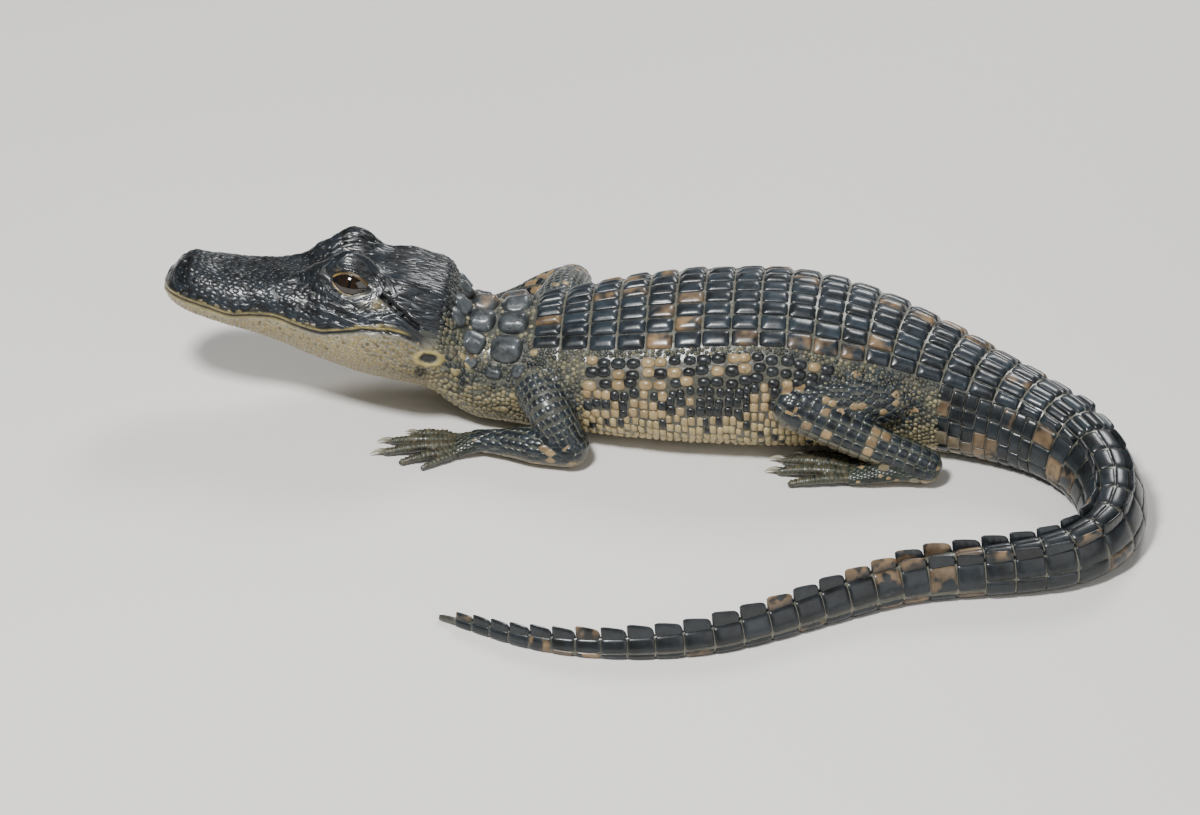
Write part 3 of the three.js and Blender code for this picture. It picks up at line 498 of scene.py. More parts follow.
def loftTriangles(rings):  # a closed skin over rings of points, with a middle point at each end
    count, sides = rings.shape[:2]
    first = np.arange(sides)
    last = first + (count - 1) * sides
    front = np.stack([np.full(sides, count * sides), first, np.roll(first, -1)], 1)
    back = np.stack([np.full(sides, count * sides + 1), np.roll(last, -1), last], 1)
    points = np.vstack([rings.reshape(-1, 3), rings[0].mean(0), rings[-1].mean(0)])
    return points, np.vstack([gridTriangles(count, sides, True), front, back])


def tubeRings(tube, step=1.0, sides=36, grow=0.0):
    caps = [float(min(keyed(tube.wide, t), keyed(tube.thick, t))) for t in (0.0, 1.0)]
    start = -caps[0] * np.sin(np.linspace(1.45, 0.1, 8)) if tube.kind != "toe" else np.array([])
    end = tube.length + caps[1] * np.sin(np.linspace(0.1, 1.45, 8))
    mm = np.concatenate([start, np.linspace(0, tube.length, max(4, int(tube.length / step))), end])
    angles = np.linspace(0, 2 * math.pi, sides, endpoint=False)
    return tube.point(mm[:, None], angles[None, :], grow)


def webPoints(name):  # the flat skin between palm and toes, as a closed slab
    limb, shape = limbs[name], limbShapes[name.split("_")[0]]
    web, toes = shape["web"], shape["toes"]
    rim = [toeRoot(limb, 0) - toeHeading(limb, 0) * 6]
    for i, (turn, length, _, offset, _) in enumerate(toes):
        start = toeRoot(limb, offset)
        rim.append(start + toeHeading(limb, turn) * web * length)
        if i + 1 < len(toes):  # the edge of the web is drawn in between two toes
            turn2, length2, _, offset2, _ = toes[i + 1]
            between = toeHeading(limb, (turn + turn2) / 2) * web * 0.82 * min(length, length2)
            rim.append((start + toeRoot(limb, offset2)) / 2 + between)
    low, high = np.array(rim), np.array(rim)
    low[:, 2], high[:, 2] = 1.2, 2.6
    n = len(rim)
    k, around = np.arange(1, n - 1), np.arange(n)
    after = (around + 1) % n
    tris = [np.stack([k * 0, k + 1, k], 1), np.stack([k * 0 + n, n + k, n + k + 1], 1)]
    tris += [np.stack([around, after, n + after], 1), np.stack([around, n + after, n + around], 1)]
    return np.vstack([low, high]), np.vstack(tris)


def skinParts():
    angles = np.linspace(0, 2 * math.pi, 112, endpoint=False)
    headX = np.concatenate([138 - 0.3 * np.arange(12) ** 1.35, np.arange(129, 0, -1.4)])
    headRings = fromHead(headPoint(headX[:, None], angles[None, :]))
    trunkS = np.arange(occiputS, tailTipS + 0.1, 1.6)
    sunk = skinSettings["sunk"] * smooth((trunkS - occiputS) / 30)[:, None] + 0 * angles[None, :]
    sunk = sunk * smooth((tailTipS + 6 - trunkS) / 60)[:, None]
    trunkRings = bodyPoint(trunkS[:, None] + 0 * angles, angles[None, :] + 0 * trunkS[:, None], -sunk)
    trunkRings[..., 2] = np.maximum(trunkRings[..., 2], skinSettings["floorGap"])
    parts = [loftTriangles(np.concatenate([headRings, trunkRings]))]
    for tube in tubes:
        grow = -0.25 if tube.kind in ("root", "lower") else -0.1
        parts.append(loftTriangles(tubeRings(tube, grow=grow)))
    parts += [webPoints(name) for name in limbs]
    return parts


def meshOf(name, points, faces, smoothShade=True):
    mesh = bpy.data.meshes.new(name)
    faces = np.asarray(faces, np.int32)
    mesh.vertices.add(len(points))
    mesh.vertices.foreach_set("co", np.asarray(points, np.float32).ravel())
    mesh.loops.add(faces.size)
    mesh.loops.foreach_set("vertex_index", faces.ravel())
    mesh.polygons.add(len(faces))
    mesh.polygons.foreach_set("loop_start", np.arange(0, faces.size, faces.shape[1], dtype=np.int32))
    mesh.update(calc_edges=True)
    mesh.polygons.foreach_set("use_smooth", np.full(len(faces), smoothShade))
    mesh.validate()
    return mesh


def meltTogether(parts, voxel):
    starts = np.cumsum([0] + [len(p) for p, _ in parts])
    tris = [t + start for (_, t), start in zip(parts, starts)]
    mesh = meshOf("melt", np.vstack([p for p, _ in parts]), np.vstack(tris))
    body = bpy.data.objects.new("melt", mesh)
    bpy.context.scene.collection.objects.link(body)
    remesh = body.modifiers.new("remesh", "REMESH")
    remesh.mode = "VOXEL"
    remesh.voxel_size = voxel
    done = body.evaluated_get(bpy.context.evaluated_depsgraph_get()).to_mesh()
    co = np.empty(len(done.vertices) * 3, np.float32)
    done.vertices.foreach_get("co", co)
    corners = np.empty(len(done.loops), np.int32)
    done.loops.foreach_get("vertex_index", corners)
    sizes = np.empty(len(done.polygons), np.int32)
    done.polygons.foreach_get("loop_total", sizes)
    assert (sizes == 4).all()
    bpy.data.objects.remove(body)
    bpy.data.meshes.remove(mesh)
    return co.reshape(-1, 3).astype(float), corners.reshape(-1, 4)


def edgesOf(faces):
    pairs = np.sort(np.vstack([faces[:, [k, (k + 1) % 4]] for k in range(4)]), axis=1).astype(np.int64)
    keys = np.unique(pairs[:, 0] * (faces.max() + 1) + pairs[:, 1])
    return np.stack([keys // (faces.max() + 1), keys % (faces.max() + 1)], 1)


class Sheet:  # a mesh with the few numpy tools that modelling needs
    def __init__(self, points, faces):
        self.points, self.faces = points, faces
        self.edges = edgesOf(faces)
        n = len(points)
        self.degree = np.bincount(self.edges.ravel(), minlength=n).astype(float)

    def average(self, values):  # mean of the neighbours
        a, b = self.edges[:, 0], self.edges[:, 1]
        n = len(self.points)
        if values.ndim == 1:
            return (np.bincount(a, values[b], n) + np.bincount(b, values[a], n)) / self.degree
        return np.stack([self.average(values[:, k]) for k in range(values.shape[1])], -1)

    def soften(self, values, rounds):
        for _ in range(rounds):
            values = 0.5 * values + 0.5 * self.average(values)
        return values

    def normals(self):
        p, f = self.points, self.faces
        cross = np.cross(p[f[:, 2]] - p[f[:, 0]], p[f[:, 3]] - p[f[:, 1]])
        n = len(p)
        total = np.stack(
            [sum(np.bincount(f[:, k], cross[:, axis], n) for k in range(4)) for axis in range(3)], -1
        )
        return unit(total)


skin = Sheet(*meltTogether(skinParts(), skinSettings["voxel"]))
print("skin melted", len(skin.points))


def roundCreases(sheet, rounds):  # fills the sharp valleys where limbs and toes join
    normals = sheet.normals()
    hollow = ((sheet.average(sheet.points) - sheet.points) * normals).sum(1)
    mask = (hollow > 0.09 * skinSettings["voxel"]).astype(float)
    mask = np.clip(sheet.soften(mask, 10) * 3.2, 0, 1)
    for _ in range(rounds):
        step = sheet.average(sheet.points) - sheet.points
        sheet.points = sheet.points + step * (0.6 * mask)[:, None]
    for _ in range(2):  # takes the voxel steps off the whole sheet
        sheet.points = sheet.points + 0.5 * (sheet.average(sheet.points) - sheet.points)
    sheet.points[:, 2] = np.maximum(sheet.points[:, 2], 0.2)


roundCreases(skin, skinSettings["creaseRounds"])
print("creases rounded")


# where every skin point lies: region, place along it and angle round it
regions = {"trunk": 0, "head": 1, "root": 2, "lower": 3, "palm": 4, "toe": 5}


def regionPoints():
    rows, names, tubeIds = [], [], []
    angles = np.linspace(0, 2 * math.pi, 48, endpoint=False)

    def add(points, name, tubeId):
        flat = points.reshape(-1, 3)
        rows.append(flat)
        names.append(np.full(len(flat), regions[name]))
        tubeIds.append(np.full(len(flat), tubeId))

    s = np.arange(occiputS + 8, tailTipS, 2.5)
    add(bodyPoint(s[:, None], angles[None, :]), "trunk", -1)
    add(fromHead(headPoint(np.arange(-6, 138, 2.5)[:, None], angles[None, :])), "head", -1)
    for i, tube in enumerate(tubes):
        add(tubeRings(tube, step=1.5, sides=24), tube.kind, i)
    return np.vstack(rows), np.concatenate(names), np.concatenate(tubeIds)


def assignRegions(points):
    source, names, tubeIds = regionPoints()
    tree = KDTree(len(source))
    for i, p in enumerate(source.tolist()):
        tree.insert(p, i)
    tree.balance()
    nearest = np.array([tree.find(p)[1] for p in points.tolist()])
    return names[nearest], tubeIds[nearest]


def angleOf(side, up, wide, rise, e):  # the angle at which a point lies in a section
    lean = (np.abs(side) / wide) ** (1 / e), (np.abs(up) / rise) ** (1 / e)
    return np.arctan2(lean[0], np.where(up >= 0, lean[1], -lean[1])) * np.where(side >= 0, 1, -1)


def trunkPlace(p):  # s, angle of points near the trunk
    table = np.arange(occiputS, tailTipS + 1, 3.0)
    centres = spineAt(table)[0][:, :2]
    s = np.empty(len(p))
    for i in range(0, len(p), 20000):
        far = ((p[i : i + 20000, None, :2] - centres[None]) ** 2).sum(-1)
        s[i : i + 20000] = table[far.argmin(1)]
    for _ in range(2):
        centre, back, _ = spineAt(s)
        s = np.clip(s + ((p - centre) * back).sum(1), occiputS - 6, tailTipS)
    centre, _, left = spineAt(s)
    halfWidth, top, low, middle = sectionSizes(s)
    up = p[:, 2] - middle
    wide = halfWidth * np.maximum(1 - keyed(taperKeys, s) * up / (top - middle), 0.2)
    rise = np.where(up >= 0, top - middle, middle - low)
    e = 2 / np.where(up >= 0, keyed(squareTopKeys, s), keyed(squareLowKeys, s))
    return s, angleOf(((p - centre) * left).sum(1), up, wide, rise, e)


def headPlaceOf(h):  # angle round the head of points in its own frame
    x = np.clip(h[:, 0], -30, 137.9)
    middle = keyed(headMiddleKeys, x)
    up = h[:, 2] - middle
    rise = np.where(up >= 0, keyed(headTopKeys, x) - middle, middle - keyed(headBottomKeys, x))
    return angleOf(h[:, 1], up, keyed(headHalfWidthKeys, x), rise, 2 / keyed(headSquareKeys, x))


skinRegion, skinTube = assignRegions(skin.points)
skinS, skinAngle = trunkPlace(skin.points)
skinHead = toHead(skin.points)
headShare = skin.soften((skinRegion == regions["head"]).astype(float), 6)
print("skin regions known")


# head relief: mouth line, lips, long wrinkles, brows, ear slits, lines on the cheek and nostrils
reliefSettings = {
    "mouthDepth": 1.1,
    "lipBead": 0.35,
    "earDepth": 2.2,
    "nostril": (129.0, 5.2),  # place along the head and out from its middle
    "nostrilDepth": 1.8,
    "wrinkle": (14.0, 2.8, 2.8),
    "wrinkleHeight": 0.275,
    "ear": ((32.0, 29.6), (10.0, 20.6)),  # the slit from the eye back to the jaw, in the head's side view
    # shoulders of the brows: place, length, width and height, and the rise over which they begin
    "brows": ((66, 8, 6.5, 3.4, 22, 8), (42, 7, 6, 2.0, 30, 6)),
    "cheekLines": (  # from, to in the side view, depth
        ((33, 24.5), (4, 13.5), 0.55),
        ((38, 21), (2, 6.5), 0.5),
        ((30, 18), (0, 1.5), 0.35),
        ((60, 21.5), (34, 21), 0.4),
        ((64, 17.5), (30, 17.2), 0.45),
        ((57, 13.8), (24, 12.5), 0.35),
    ),
    "ring": ((2.1, 37.0, 5.7), (7.0, 14.0, 3.9)),  # worn patch at the corner of the left jaw: middle and spread
    "greyScale": (4.8, -2.5, 3.2),  # below the ring: place along the head, height and radius
}


def bump(distance, width):
    return np.exp(-((distance / width) ** 2))


def segmentDistance(a, b, start, end):  # in a plane: signed distance from a line and how far past its ends
    start, end = np.array(start, float), np.array(end, float)
    length = np.linalg.norm(end - start)
    way = (end - start) / length
    da, db = a - start[0], b - start[1]
    along = da * way[0] + db * way[1]
    return -da * way[1] + db * way[0], np.maximum(np.maximum(-along, along - length), 0)


def headRelief(h):
    r = reliefSettings
    x, y, z = h[:, 0], np.abs(h[:, 1]), h[:, 2]
    out = np.zeros(len(h))
    gap = z - keyed(mouthKeys, np.clip(x, 4, headLength))
    sides = smooth((y - 1.0) / 3 + smooth((x - 130) / 5)) * smooth((x - 7) / 5)
    out -= r["mouthDepth"] * bump(gap, 0.65) * sides
    out += r["lipBead"] * (bump(gap - 2.2, 1.2) + 0.7 * bump(gap + 2.0, 1.1)) * sides
    # long wrinkles on brow, skull table and cheek
    long = softNoise(h, r["wrinkle"], 11) + 0.6 * softNoise(h, np.array(r["wrinkle"]) * (0.7, 0.6, 0.6), 12)
    ridged = 1 - np.abs(np.clip(long * 1.3, -1, 1)) * 2
    skull = smooth((72 - x) / 16) * smooth((x + 12) / 10)
    upper = smooth((gap - 2.5) / 3)
    out += r["wrinkleHeight"] * ridged * skull * upper
    out += 0.45 * softNoise(h, (7, 5, 5), 41) * upper * smooth((x - 50) / 20)
    for at, long, wide, high, low, ramp in r["brows"]:
        out += high * bump(x - at, long) * bump(y - 14.5, wide) * smooth((z - low) / ramp)
    # ear: a slit that slants back and down under the edge of the skull table, with a flap above
    off, over = segmentDistance(x, z, *r["ear"])
    ear = bump(over, 1.6) * smooth((y - 24) / 4)
    out -= r["earDepth"] * bump(off, 0.7) * ear
    out += 0.9 * bump(off + 2.1, 1.3) * ear + 0.5 * bump(off - 2.0, 1.2) * ear
    for start, end, depth in r["cheekLines"]:
        off, over = segmentDistance(x, z + 0.5 * softNoise(h, 9, 61), start, end)
        line = bump(over, 3) * smooth((y - 17) / 4)
        out += depth * (0.5 * bump(np.abs(off) - 1.7, 0.9) - bump(off, 0.7)) * line
    # nostrils: a raised crescent rim around a pit, near the tip
    for side in (-1, 1):
        dx, dy = x - r["nostril"][0], h[:, 1] - side * r["nostril"][1]
        turn = math.radians(side * -35)
        u = (dx * math.cos(turn) + dy * math.sin(turn)) / 2.5
        v = (-dx * math.sin(turn) + dy * math.cos(turn)) / 1.2
        radius = np.hypot(u, v - 0.55 * u**2 + 0.2)
        top = smooth((z - 9) / 3)
        out -= r["nostrilDepth"] * smooth((1.15 - radius) / 0.7) * top
        out += 0.35 * bump(radius - 1.9, 0.7) * top
    # the raised rim of the worn ring, then teeth that press the lip out in a row of faint knobs
    out += 0.7 * bump(ringReach(h) - 0.9, 0.22) - 0.6 * smooth((0.66 - ringReach(h)) / 0.2)
    knobs = 0.5 + 0.5 * np.cos(x * 2 * math.pi / 5.6)
    out += 0.22 * knobs * bump(gap - 3.0, 2.0) * smooth((x - 34) / 8) * smooth((y - 6) / 6)
    return out


def onLeft(h):
    return h[:, 1] > 20


def ringReach(h):  # below 1 within the worn patch
    off = (h - reliefSettings["ring"][0]) / reliefSettings["ring"][1]
    return np.hypot(off[:, 0], off[:, 2]) + 0.07 * softNoise(h, 2.5, 95) + np.where(onLeft(h), 0, 9)


def greyDepth(h):  # above 0 within the grey scale, in mm from its edge
    x, z, radius = reliefSettings["greyScale"]
    return np.where(onLeft(h), radius - np.hypot(h[:, 0] - x, h[:, 2] - z), -9)


def creamPatch(h):  # pale worn skin under the rear corner of each eye
    long, high = (h[:, 0] - 37.0) / 8.0, (h[:, 2] - 25.8) / 2.6
    return np.exp(-(long**2 + high**2)) * smooth((np.abs(h[:, 1]) - 20) / 3)


def cheekCorner(h):  # 1 behind and below the end of the ear, where the neck's granules reach forward
    return smooth((10 - h[:, 0]) / 7) * smooth((21 - h[:, 2]) / 7)


# eyes: sockets in the skin, a ball and rolled lids
eyeSettings = {
    "x": 46.5,
    "out": 17.2,
    "up": 28.2,
    "radius": 8.8,
    "socketSink": 2.6,  # mm from the ball's front to the skin behind it
    "halfLength": 10.4,
    "halfHeight": 5.1,
    "tilt": 4.0,  # degrees, the rear corner against the front one
    "look": (0.15, 1.0, 0.3),
}


def eyeAxes(side):  # in the head's frame: centre, forward, upward and outward
    look = unit(np.array(eyeSettings["look"]) * (1, side, 1))
    forward = unit(np.array([1.0, 0, 0]) - look * look[0])
    upward = unit(np.cross(look, forward))
    upward = upward * np.sign(upward[2])
    c, q = math.cos(math.radians(eyeSettings["tilt"])), math.sin(math.radians(eyeSettings["tilt"]))
    centre = np.array([eyeSettings["x"], side * eyeSettings["out"], eyeSettings["up"]])
    return centre, forward * c + upward * q, upward * c - forward * q, look


def almondHeight(u, upper):  # half height of the opening at u from -1, the rear corner, to 1, the front
    body = np.clip(1 - np.abs(u) ** 1.9, 0, 1) ** 0.95
    return np.where(upper, 0.96 + 0.1 * u, 1.0 - 0.06 * u) * body


def openSockets(sheet):
    e, h = eyeSettings, toHead(sheet.points)
    target = e["radius"] - e["socketSink"]
    for side in (-1, 1):
        centre, forward, upward, look = eyeAxes(side)
        d = h - centre
        u, v, radius = d @ forward, d @ upward, np.linalg.norm(d, axis=1)
        reach = almondHeight(np.clip(u / e["halfLength"], -1, 1), v > 0) * e["halfHeight"]
        inside = smooth((reach + 0.2 - np.abs(v)) / 0.9) * smooth(e["halfLength"] + 0.4 - np.abs(u))
        near = (d @ look > 0) & (radius < 26) & (radius > target)
        h = h - unit(d) * np.where(near, inside * (radius - target), 0)[:, None]
    sheet.points = fromHead(h)


def foldLine(s, width):  # 1 in the fold between two rows of scutes
    row = (s - neckEndS) / whorlLength
    return bump((row - np.rint(row)) * whorlLength, width) * smooth((s - neckEndS + 2) / 6)


def sculptSkin(sheet):
    away = 1 - headShare
    # folds between the rows of scutes, and fine creases of loose skin on the flanks
    relief = headRelief(skinHead) * headShare - 0.25 * foldLine(skinS, 1.3) * away * (skinRegion == regions["trunk"])
    crease = softNoise(sheet.points, (3.2, 2.2, 1.5), 71) * 0.14 + softNoise(sheet.points, 1.6, 72) * 0.06
    relief += crease * away
    sheet.points = sheet.points + sheet.normals() * relief[:, None]
    sheet.points[:, 2] = np.maximum(sheet.points[:, 2], 0.15)


smoothSkin = Sheet(skin.points.copy(), skin.faces)  # scales and lids are laid on this one
smoothNormals = smoothSkin.normals()
sculptSkin(skin)
openSockets(skin)
print("skin sculpted")


# laying things on the skin
quadSplit = np.vstack([smoothSkin.faces[:, [0, 1, 2]], smoothSkin.faces[:, [0, 2, 3]]])
skinTree = BVHTree.FromPolygons(smoothSkin.points.tolist(), quadSplit.tolist())
faceNormals = unit(smoothNormals[quadSplit].sum(1))
carvedTree = BVHTree.FromPolygons(skin.points.tolist(), quadSplit.tolist())  # the same faces after the sculpting


def onSkin(points, tree=skinTree):  # nearest place on the skin, its soft normal and how far it was
    flat = np.asarray(points, float).reshape(-1, 3)
    hits = [tree.find_nearest(p) for p in flat.tolist()]
    place = np.array([hit[0] for hit in hits])
    normal = faceNormals[[hit[2] for hit in hits]]
    far = ((flat - place) * normal).sum(1)  # above 0 outside, below 0 inside
    shape = np.shape(points)
    return place.reshape(shape), normal.reshape(shape), far.reshape(shape[:-1])


def discTemplate(sides, rings, squareness):  # a rounded plate from its middle out, the last ring is its root
    a = np.linspace(0, 2 * math.pi, sides, endpoint=False) + math.pi / sides
    c, q = np.cos(a), np.sin(a)
    reach = (np.abs(c) ** squareness + np.abs(q) ** squareness) ** (-1 / squareness)
    uv = [np.zeros((1, 2))] + [np.stack([c * reach, q * reach], 1) * r for r in rings]
    k = np.arange(sides)
    middle = np.stack([0 * k, 1 + k, 1 + (k + 1) % sides], 1)
    m = np.concatenate([[0.0], np.repeat(rings, sides)])
    return {"uv": np.vstack(uv), "m": m, "tris": np.vstack([middle, 1 + gridTriangles(len(rings), sides, True)])}


def gridTemplate(lines, squareness):  # a rounded rectangle of even squares, m grows from its middle to its edge
    a, b = (v.ravel() for v in np.meshgrid(lines, lines, indexing="ij"))
    m = np.maximum(np.abs(a), np.abs(b))
    way = np.stack([a, b], 1) / np.maximum(m, 1e-9)[:, None]
    reach = np.maximum((np.abs(way) ** squareness).sum(1), 1e-9) ** (-1 / squareness)
    return {"uv": way * (m * reach)[:, None], "m": m, "tris": gridTriangles(len(lines), len(lines))}


def linesTo(edge, root, count):  # places of the lines of a grid, closer towards its edge
    half = edge * np.sin(np.linspace(0, math.pi / 2, count)) ** 0.9
    return np.concatenate([[-root], -half[::-1], half[1:], [root]])


pebbleForm = discTemplate(8, (0.5, 0.82, 1.0, 1.1), 2.6)
tileForm = discTemplate(12, (0.5, 0.8, 0.95, 1.05), 5.5)
ovalForm = discTemplate(14, (0.35, 0.65, 0.85, 0.97, 1.06), 2.8)
granuleForm = discTemplate(7, (0.6, 1.0, 1.12), 2.3)
lozengeForm = discTemplate(12, (0.5, 0.8, 0.95, 1.05), 1.2)
scuteForm = gridTemplate(linesTo(1.0, 1.03, 9), 7)
shieldForm = gridTemplate(linesTo(1.0, 1.04, 9), 2.5)
longTileForm = gridTemplate(linesTo(1.0, 1.03, 6), 9)
rootSink = 0.75  # how far the rim of a scale runs down under the skin, mm
rng = np.random.default_rng(5103)  # one seed, so that every run draws the same


class Coat:  # gathers scales, then makes one joined mesh of them
    def __init__(self, name):
        self.name, self.count = name, 0
        self.points, self.tris, self.roots, self.marks = [], [], [], {}

    def add(self, points, tris, roots, marks):
        self.points.append(points)
        self.tris.append(tris + self.count)
        self.roots.append(roots)
        for key, value in marks.items():
            self.marks.setdefault(key, []).append(value)
        self.count += len(points)

    def joined(self):
        marks = {key: np.concatenate(value) for key, value in self.marks.items()}
        return np.vstack(self.points), np.vstack(self.tris), np.vstack(self.roots), marks


coats = []


def newCoat(name):
    coats.append(Coat(name))
    return coats[-1]


def placeScales(coat, form, keep, frame, halfLong, halfWide, height, marks, roots, fit="curve", tree=skinTree):
    # keep says which scales grow, frame is place, along, across and normal
    # height gives the lift in mm from u, v and m of the template and each, which turns values of scales to a column
    def each(values):
        return np.broadcast_to(values, keep.shape)[keep][:, None]

    centres, along, across, normal = (v[keep][:, None] for v in frame)
    n, uv, m = len(centres), form["uv"], form["m"]
    if n == 0:
        return
    u, v, halfLong, halfWide = uv[None, :, 0], uv[None, :, 1], each(halfLong), each(halfWide)
    flat = centres + along * (u * halfLong)[..., None] + across * (v * halfWide)[..., None]
    lift = np.where(m > 1.0, -rootSink, height(u, v, m[None], each))
    if fit == "curve":  # bend each scale to the skin with a parabola along and across
        a, b = along * halfLong[..., None], across * halfWide[..., None]
        probe = onSkin(centres + np.concatenate([a, -a, b, -b], 1), tree)[0]
        drop = ((probe - centres) * normal).sum(-1)
        for part, w, half in ((drop[:, :2], u, halfLong), (drop[:, 2:], v, halfWide)):
            lift = lift + np.clip(part.sum(1, keepdims=True) / 2, -0.4 * half, 0.2 * half) * w**2
        points = flat + normal * lift[..., None]
    else:
        place, soft, _ = onSkin(flat, tree)
        points = place + unit(0.5 * soft + 0.5 * normal) * lift[..., None]
    points = points.reshape(-1, 3)
    points[:, 2] = np.maximum(points[:, 2], 0.02)
    tris = (form["tris"][None] + (np.arange(n) * len(m))[:, None, None]).reshape(-1, 3)
    full = {"rim": np.tile(np.minimum(m, 1.05), n)}
    for key, value in marks.items():
        full[key] = np.repeat(each(np.asarray(value, float)), len(m))
    coat.add(points, tris, (roots[keep][:, None] + 0.0015 * np.clip(uv, -1, 1)).reshape(-1, 2), full)


def settle(centres, normal, slack):  # drops scales whose place is not on the outer skin, seats the others
    place, soft, _ = onSkin(centres)
    keep = (np.linalg.norm(place - centres, axis=1) < slack) & ((soft * normal).sum(1) > 0.55)
    return keep, place, soft


def domeLift(high, power=2.4, bluntness=0.75, crown=0.12, tilt=0.0):  # a dome that stands higher to the rear
    def lift(u, v, m, each):
        return each(high) * np.clip(1 - m**power, 0, 1) ** bluntness + (crown + tilt * u) * (1 - m)

    return lift


def turnedFrom(centre, p, normal):  # normals that point away from the middle
    return normal * np.where(((p - centre) * normal).sum(1) > 0, 1, -1)[:, None]


def flattened(along, normal):  # both directions of a scale, level with the skin
    along = unit(along - normal * (along * normal).sum(-1, keepdims=True))
    return along, unit(np.cross(normal, along))


# the flat layout on which every root has its place: trunk above, head and limbs below
def trunkUv(s, angle):
    return np.stack([0.02 + 0.96 * (s - occiputS) / (tailTipS - occiputS), 0.74 + 0.23 * angle / math.pi], -1)


def headUv(x, angle):
    return np.stack([0.03 + 0.30 * (x + 12) / 152, 0.25 + 0.21 * angle / math.pi], -1)


def tubeUv(index, share, angle):
    column, row = index % 10, index // 10
    along = 0.37 + 0.06 * column + 0.052 * np.clip(share, -0.1, 1.1)
    return np.stack([along, 0.03 + 0.15 * row + 0.13 * (angle / (2 * math.pi) % 1)], -1)


# markings: the same rules colour the skin and every scale on it
def flankShare(s, arc):  # 0 at the edge of the back shield, 1 at the middle of the belly
    end = shieldTableEndS
    reach = keyed(shieldArcKeys, np.clip(s, occiputS, end))
    reach = np.where(s > end, shieldArcKeys[-1, 1] * halfGirth(s) / halfGirth(end), reach)
    return np.clip((np.abs(arc) - reach) / np.maximum(halfGirth(s) - reach, 1), 0, 1)


def tailBand(s, cut):  # pale bands across the tail
    return smooth((np.sin((s - 130) * 2 * math.pi / 56) - cut) / 0.4)


def trunkMarks(s, arc):  # marks of scales on neck, torso and tail
    side, share, draw = np.sign(arc), flankShare(s, arc), rng.random(len(s))
    spot = np.stack([s / 13, arc / 10, side * 4.0], -1)
    patch = softNoise(spot, 1, 81) + 0.6 * softNoise(spot * 2.1, 1, 82)
    tail = smooth((s - ventS) / 40)
    band = 0.4 * tailBand(s, 0.35) * tail * smooth((share - 0.05) / 0.3)
    low = smooth((share - 0.27) / 0.14) * (1 - tail)
    chance = 0.27 + 0.6 * low + 0.6 * patch * (1 - 0.5 * low) - 0.2 * tail + band
    chance = chance * smooth((share - 0.005) / 0.03) + 0.02
    tan = (draw < chance) * (0.75 + 0.25 * smooth((share - 0.2) / 0.4))
    pale = smooth((share - 0.28) / 0.16) * np.where(share < 0.55, tan > 0, 1)
    pale = pale * (1 - tail * smooth((0.85 - share) / 0.1))
    return tan * (1 - 0.6 * pale), pale


def whorlRows():  # front and rear of every row of scutes
    rows = [float(neckEndS)]
    while rows[-1] < tailTipS - whorlLength:
        short = max(rows[-1] - fineTailS, 0) / (tailTipS - fineTailS)
        rows.append(rows[-1] + whorlLength * (1 - 0.4 * short))
    return list(zip(rows[:-1], rows[1:]))


whorls = whorlRows()


def trunkScales(coat, form, s, arc, long, wide, height, marks, fit="curve", slack=1.6):
    angle = angleAtArc(s, arc)
    p, along, _, normal = surfaceFrame(bodyPoint, s, angle)
    # scales are longer on the outside of a bend
    stretch = np.linalg.norm(bodyPoint(s + 1, angle) - bodyPoint(s - 1, angle), axis=-1) / 2
    long = long * np.clip(stretch, 0.5, 1.6 if form is longTileForm else 1.2)
    keep, place, soft = settle(p, normal, slack)
    soft = unit(soft + normal)
    frame = (place, *flattened(along, soft), soft)
    placeScales(coat, form, keep, frame, long, wide, height, marks, trunkUv(s, angle), fit)


# back shield: eight lengthwise columns of keeled scutes, three a side on the root of the tail
backSettings = {
    "edge": 0.95,  # mm above the skin
    "keel": (0.95, 1.0, 1.0, 0.75),
    "gapLong": 0.3,
    "gapWide": 0.2,
    "tanShare": (0.1, 0.14, 0.2, 0.45),
}


def scuteLift(edge, keel, drift, rise=0.05, ribs=0.04):
    def lift(u, v, m, each):
        d = each(drift)
        off = np.abs(v - 0.1 * d)
        grown = smooth((u + 1.0) / 0.5) * smooth((1.04 - u) / 0.3)
        pillow = np.clip(1 - (off / 0.85) ** 2.4, 0, 1) ** 0.85
        ridge = 0.26 * bump(off, 0.2) * smooth((u + 0.8) / 1.2)
        furrow = ribs * np.cos(13 * v + 2.5 * d + 0.8 * u) * smooth((off - 0.25) / 0.4)
        return each(edge) * (1 - m**9) ** 0.6 + (each(keel) * (pillow + ridge) * grown + rise * u + furrow) * (1 - m**6)

    return lift


